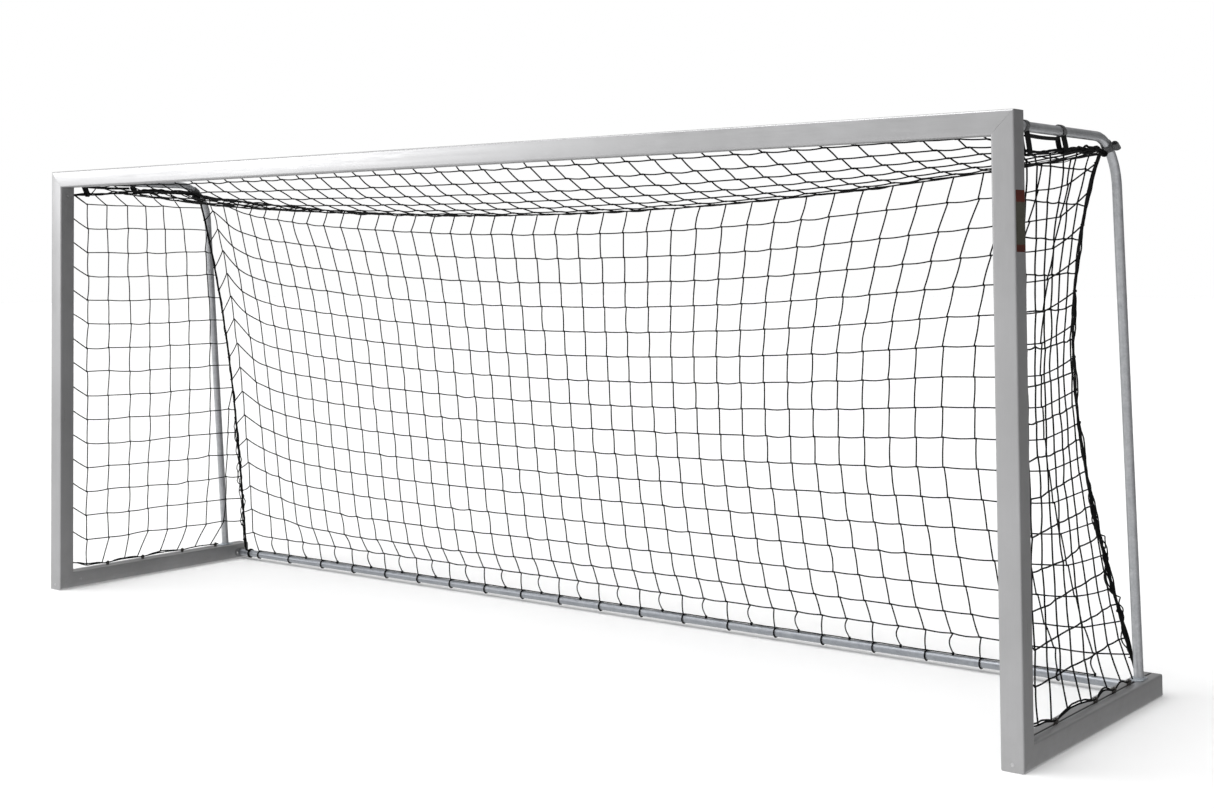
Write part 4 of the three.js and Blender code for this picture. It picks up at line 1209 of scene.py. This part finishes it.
def label_film(low, high):
    """Plain coloured fields between two heights: red below, sand, red above."""
    shader = Shader("label_film", metallic=0.0, specular_ior_level=0.08)
    place = shader.grey(shader.height(), 0.0, 1.0, low, high)
    bands = shader.ramp(place, [
        (0.0, (0.050, 0.010, 0.006)), (0.115, (0.055, 0.011, 0.006)),
        (0.12, (0.050, 0.048, 0.036)), (0.80, (0.056, 0.054, 0.042)),
        (0.81, (0.070, 0.013, 0.008)), (1.0, (0.06, 0.011, 0.007)),
    ])
    worn = shader.noise(160, 4, 0.6)
    shader.base(shader.mix("MULTIPLY", 0.5, bands, shader.grey(worn, 0.75, 1.25)))
    shader.rough(shader.grey(worn, 0.28, 0.42))
    shader.bump(worn, 0.00003)
    return shader.material


def add_label():
    """The plain coloured sticker on the right post's outer side, with nothing printed on it."""
    lo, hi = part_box("right_post")
    x, low, high = hi[0] + 0.00025, 1.627, 1.824
    outline = rounded_outline(lo[1] + 0.007, hi[1] - 0.007, low, high, 0.003)
    count = len(outline)
    verts = [(x, y, z) for y, z in outline] + [(x - 0.0002, y, z) for y, z in outline]
    faces = [tuple(range(count)), tuple(reversed(range(count, 2 * count)))]
    faces += [(i, i + count, (i + 1) % count + count, (i + 1) % count) for i in range(count)]
    mesh = bpy.data.meshes.new("plain_label")
    mesh.from_pydata(verts, [], faces)
    mesh.materials.append(label_film(low, high))
    label = bpy.data.objects.new("plain_label", mesh)
    bpy.context.scene.collection.objects.link(label)
    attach(label, BODY)


def add_floor(half=60, z=-0.0008):
    """A wide pale floor just under the rails, which no metal mirrors."""
    mesh = bpy.data.meshes.new("floor")
    corners = [(-half, -half, z), (half, -half, z), (half, half, z), (-half, half, z)]
    mesh.from_pydata(corners, [], [(0, 1, 2, 3)])
    mesh.materials.append(floor_material())
    floor = bpy.data.objects.new("floor", mesh)
    bpy.context.scene.collection.objects.link(floor)
    floor.visible_glossy = False


def main():
    bpy.context.scene.view_settings.view_transform = "Standard"
    add_camera()
    add_world()
    add_lights()
    add_floor()
    materials = {
        "twine": twine("net_twine"),
        "rope": twine("border_rope", (0.0018, 0.0018, 0.002), (0.008, 0.008, 0.0088), 1.2, 0.0006),
        "strap": webbing("strap_webbing", (0.055, 0.056, 0.058), (0.12, 0.121, 0.125)),
        "tape": webbing("hanging_tape", (0.0015, 0.0015, 0.0018), (0.007, 0.007, 0.0075), 0.0),
        "clip": moulded("clip_plastic", (0.010, 0.010, 0.010), (0.028, 0.027, 0.026), 0.4),
    }
    finish_frame()
    net(materials)
    straps(materials)
    add_label()


main()
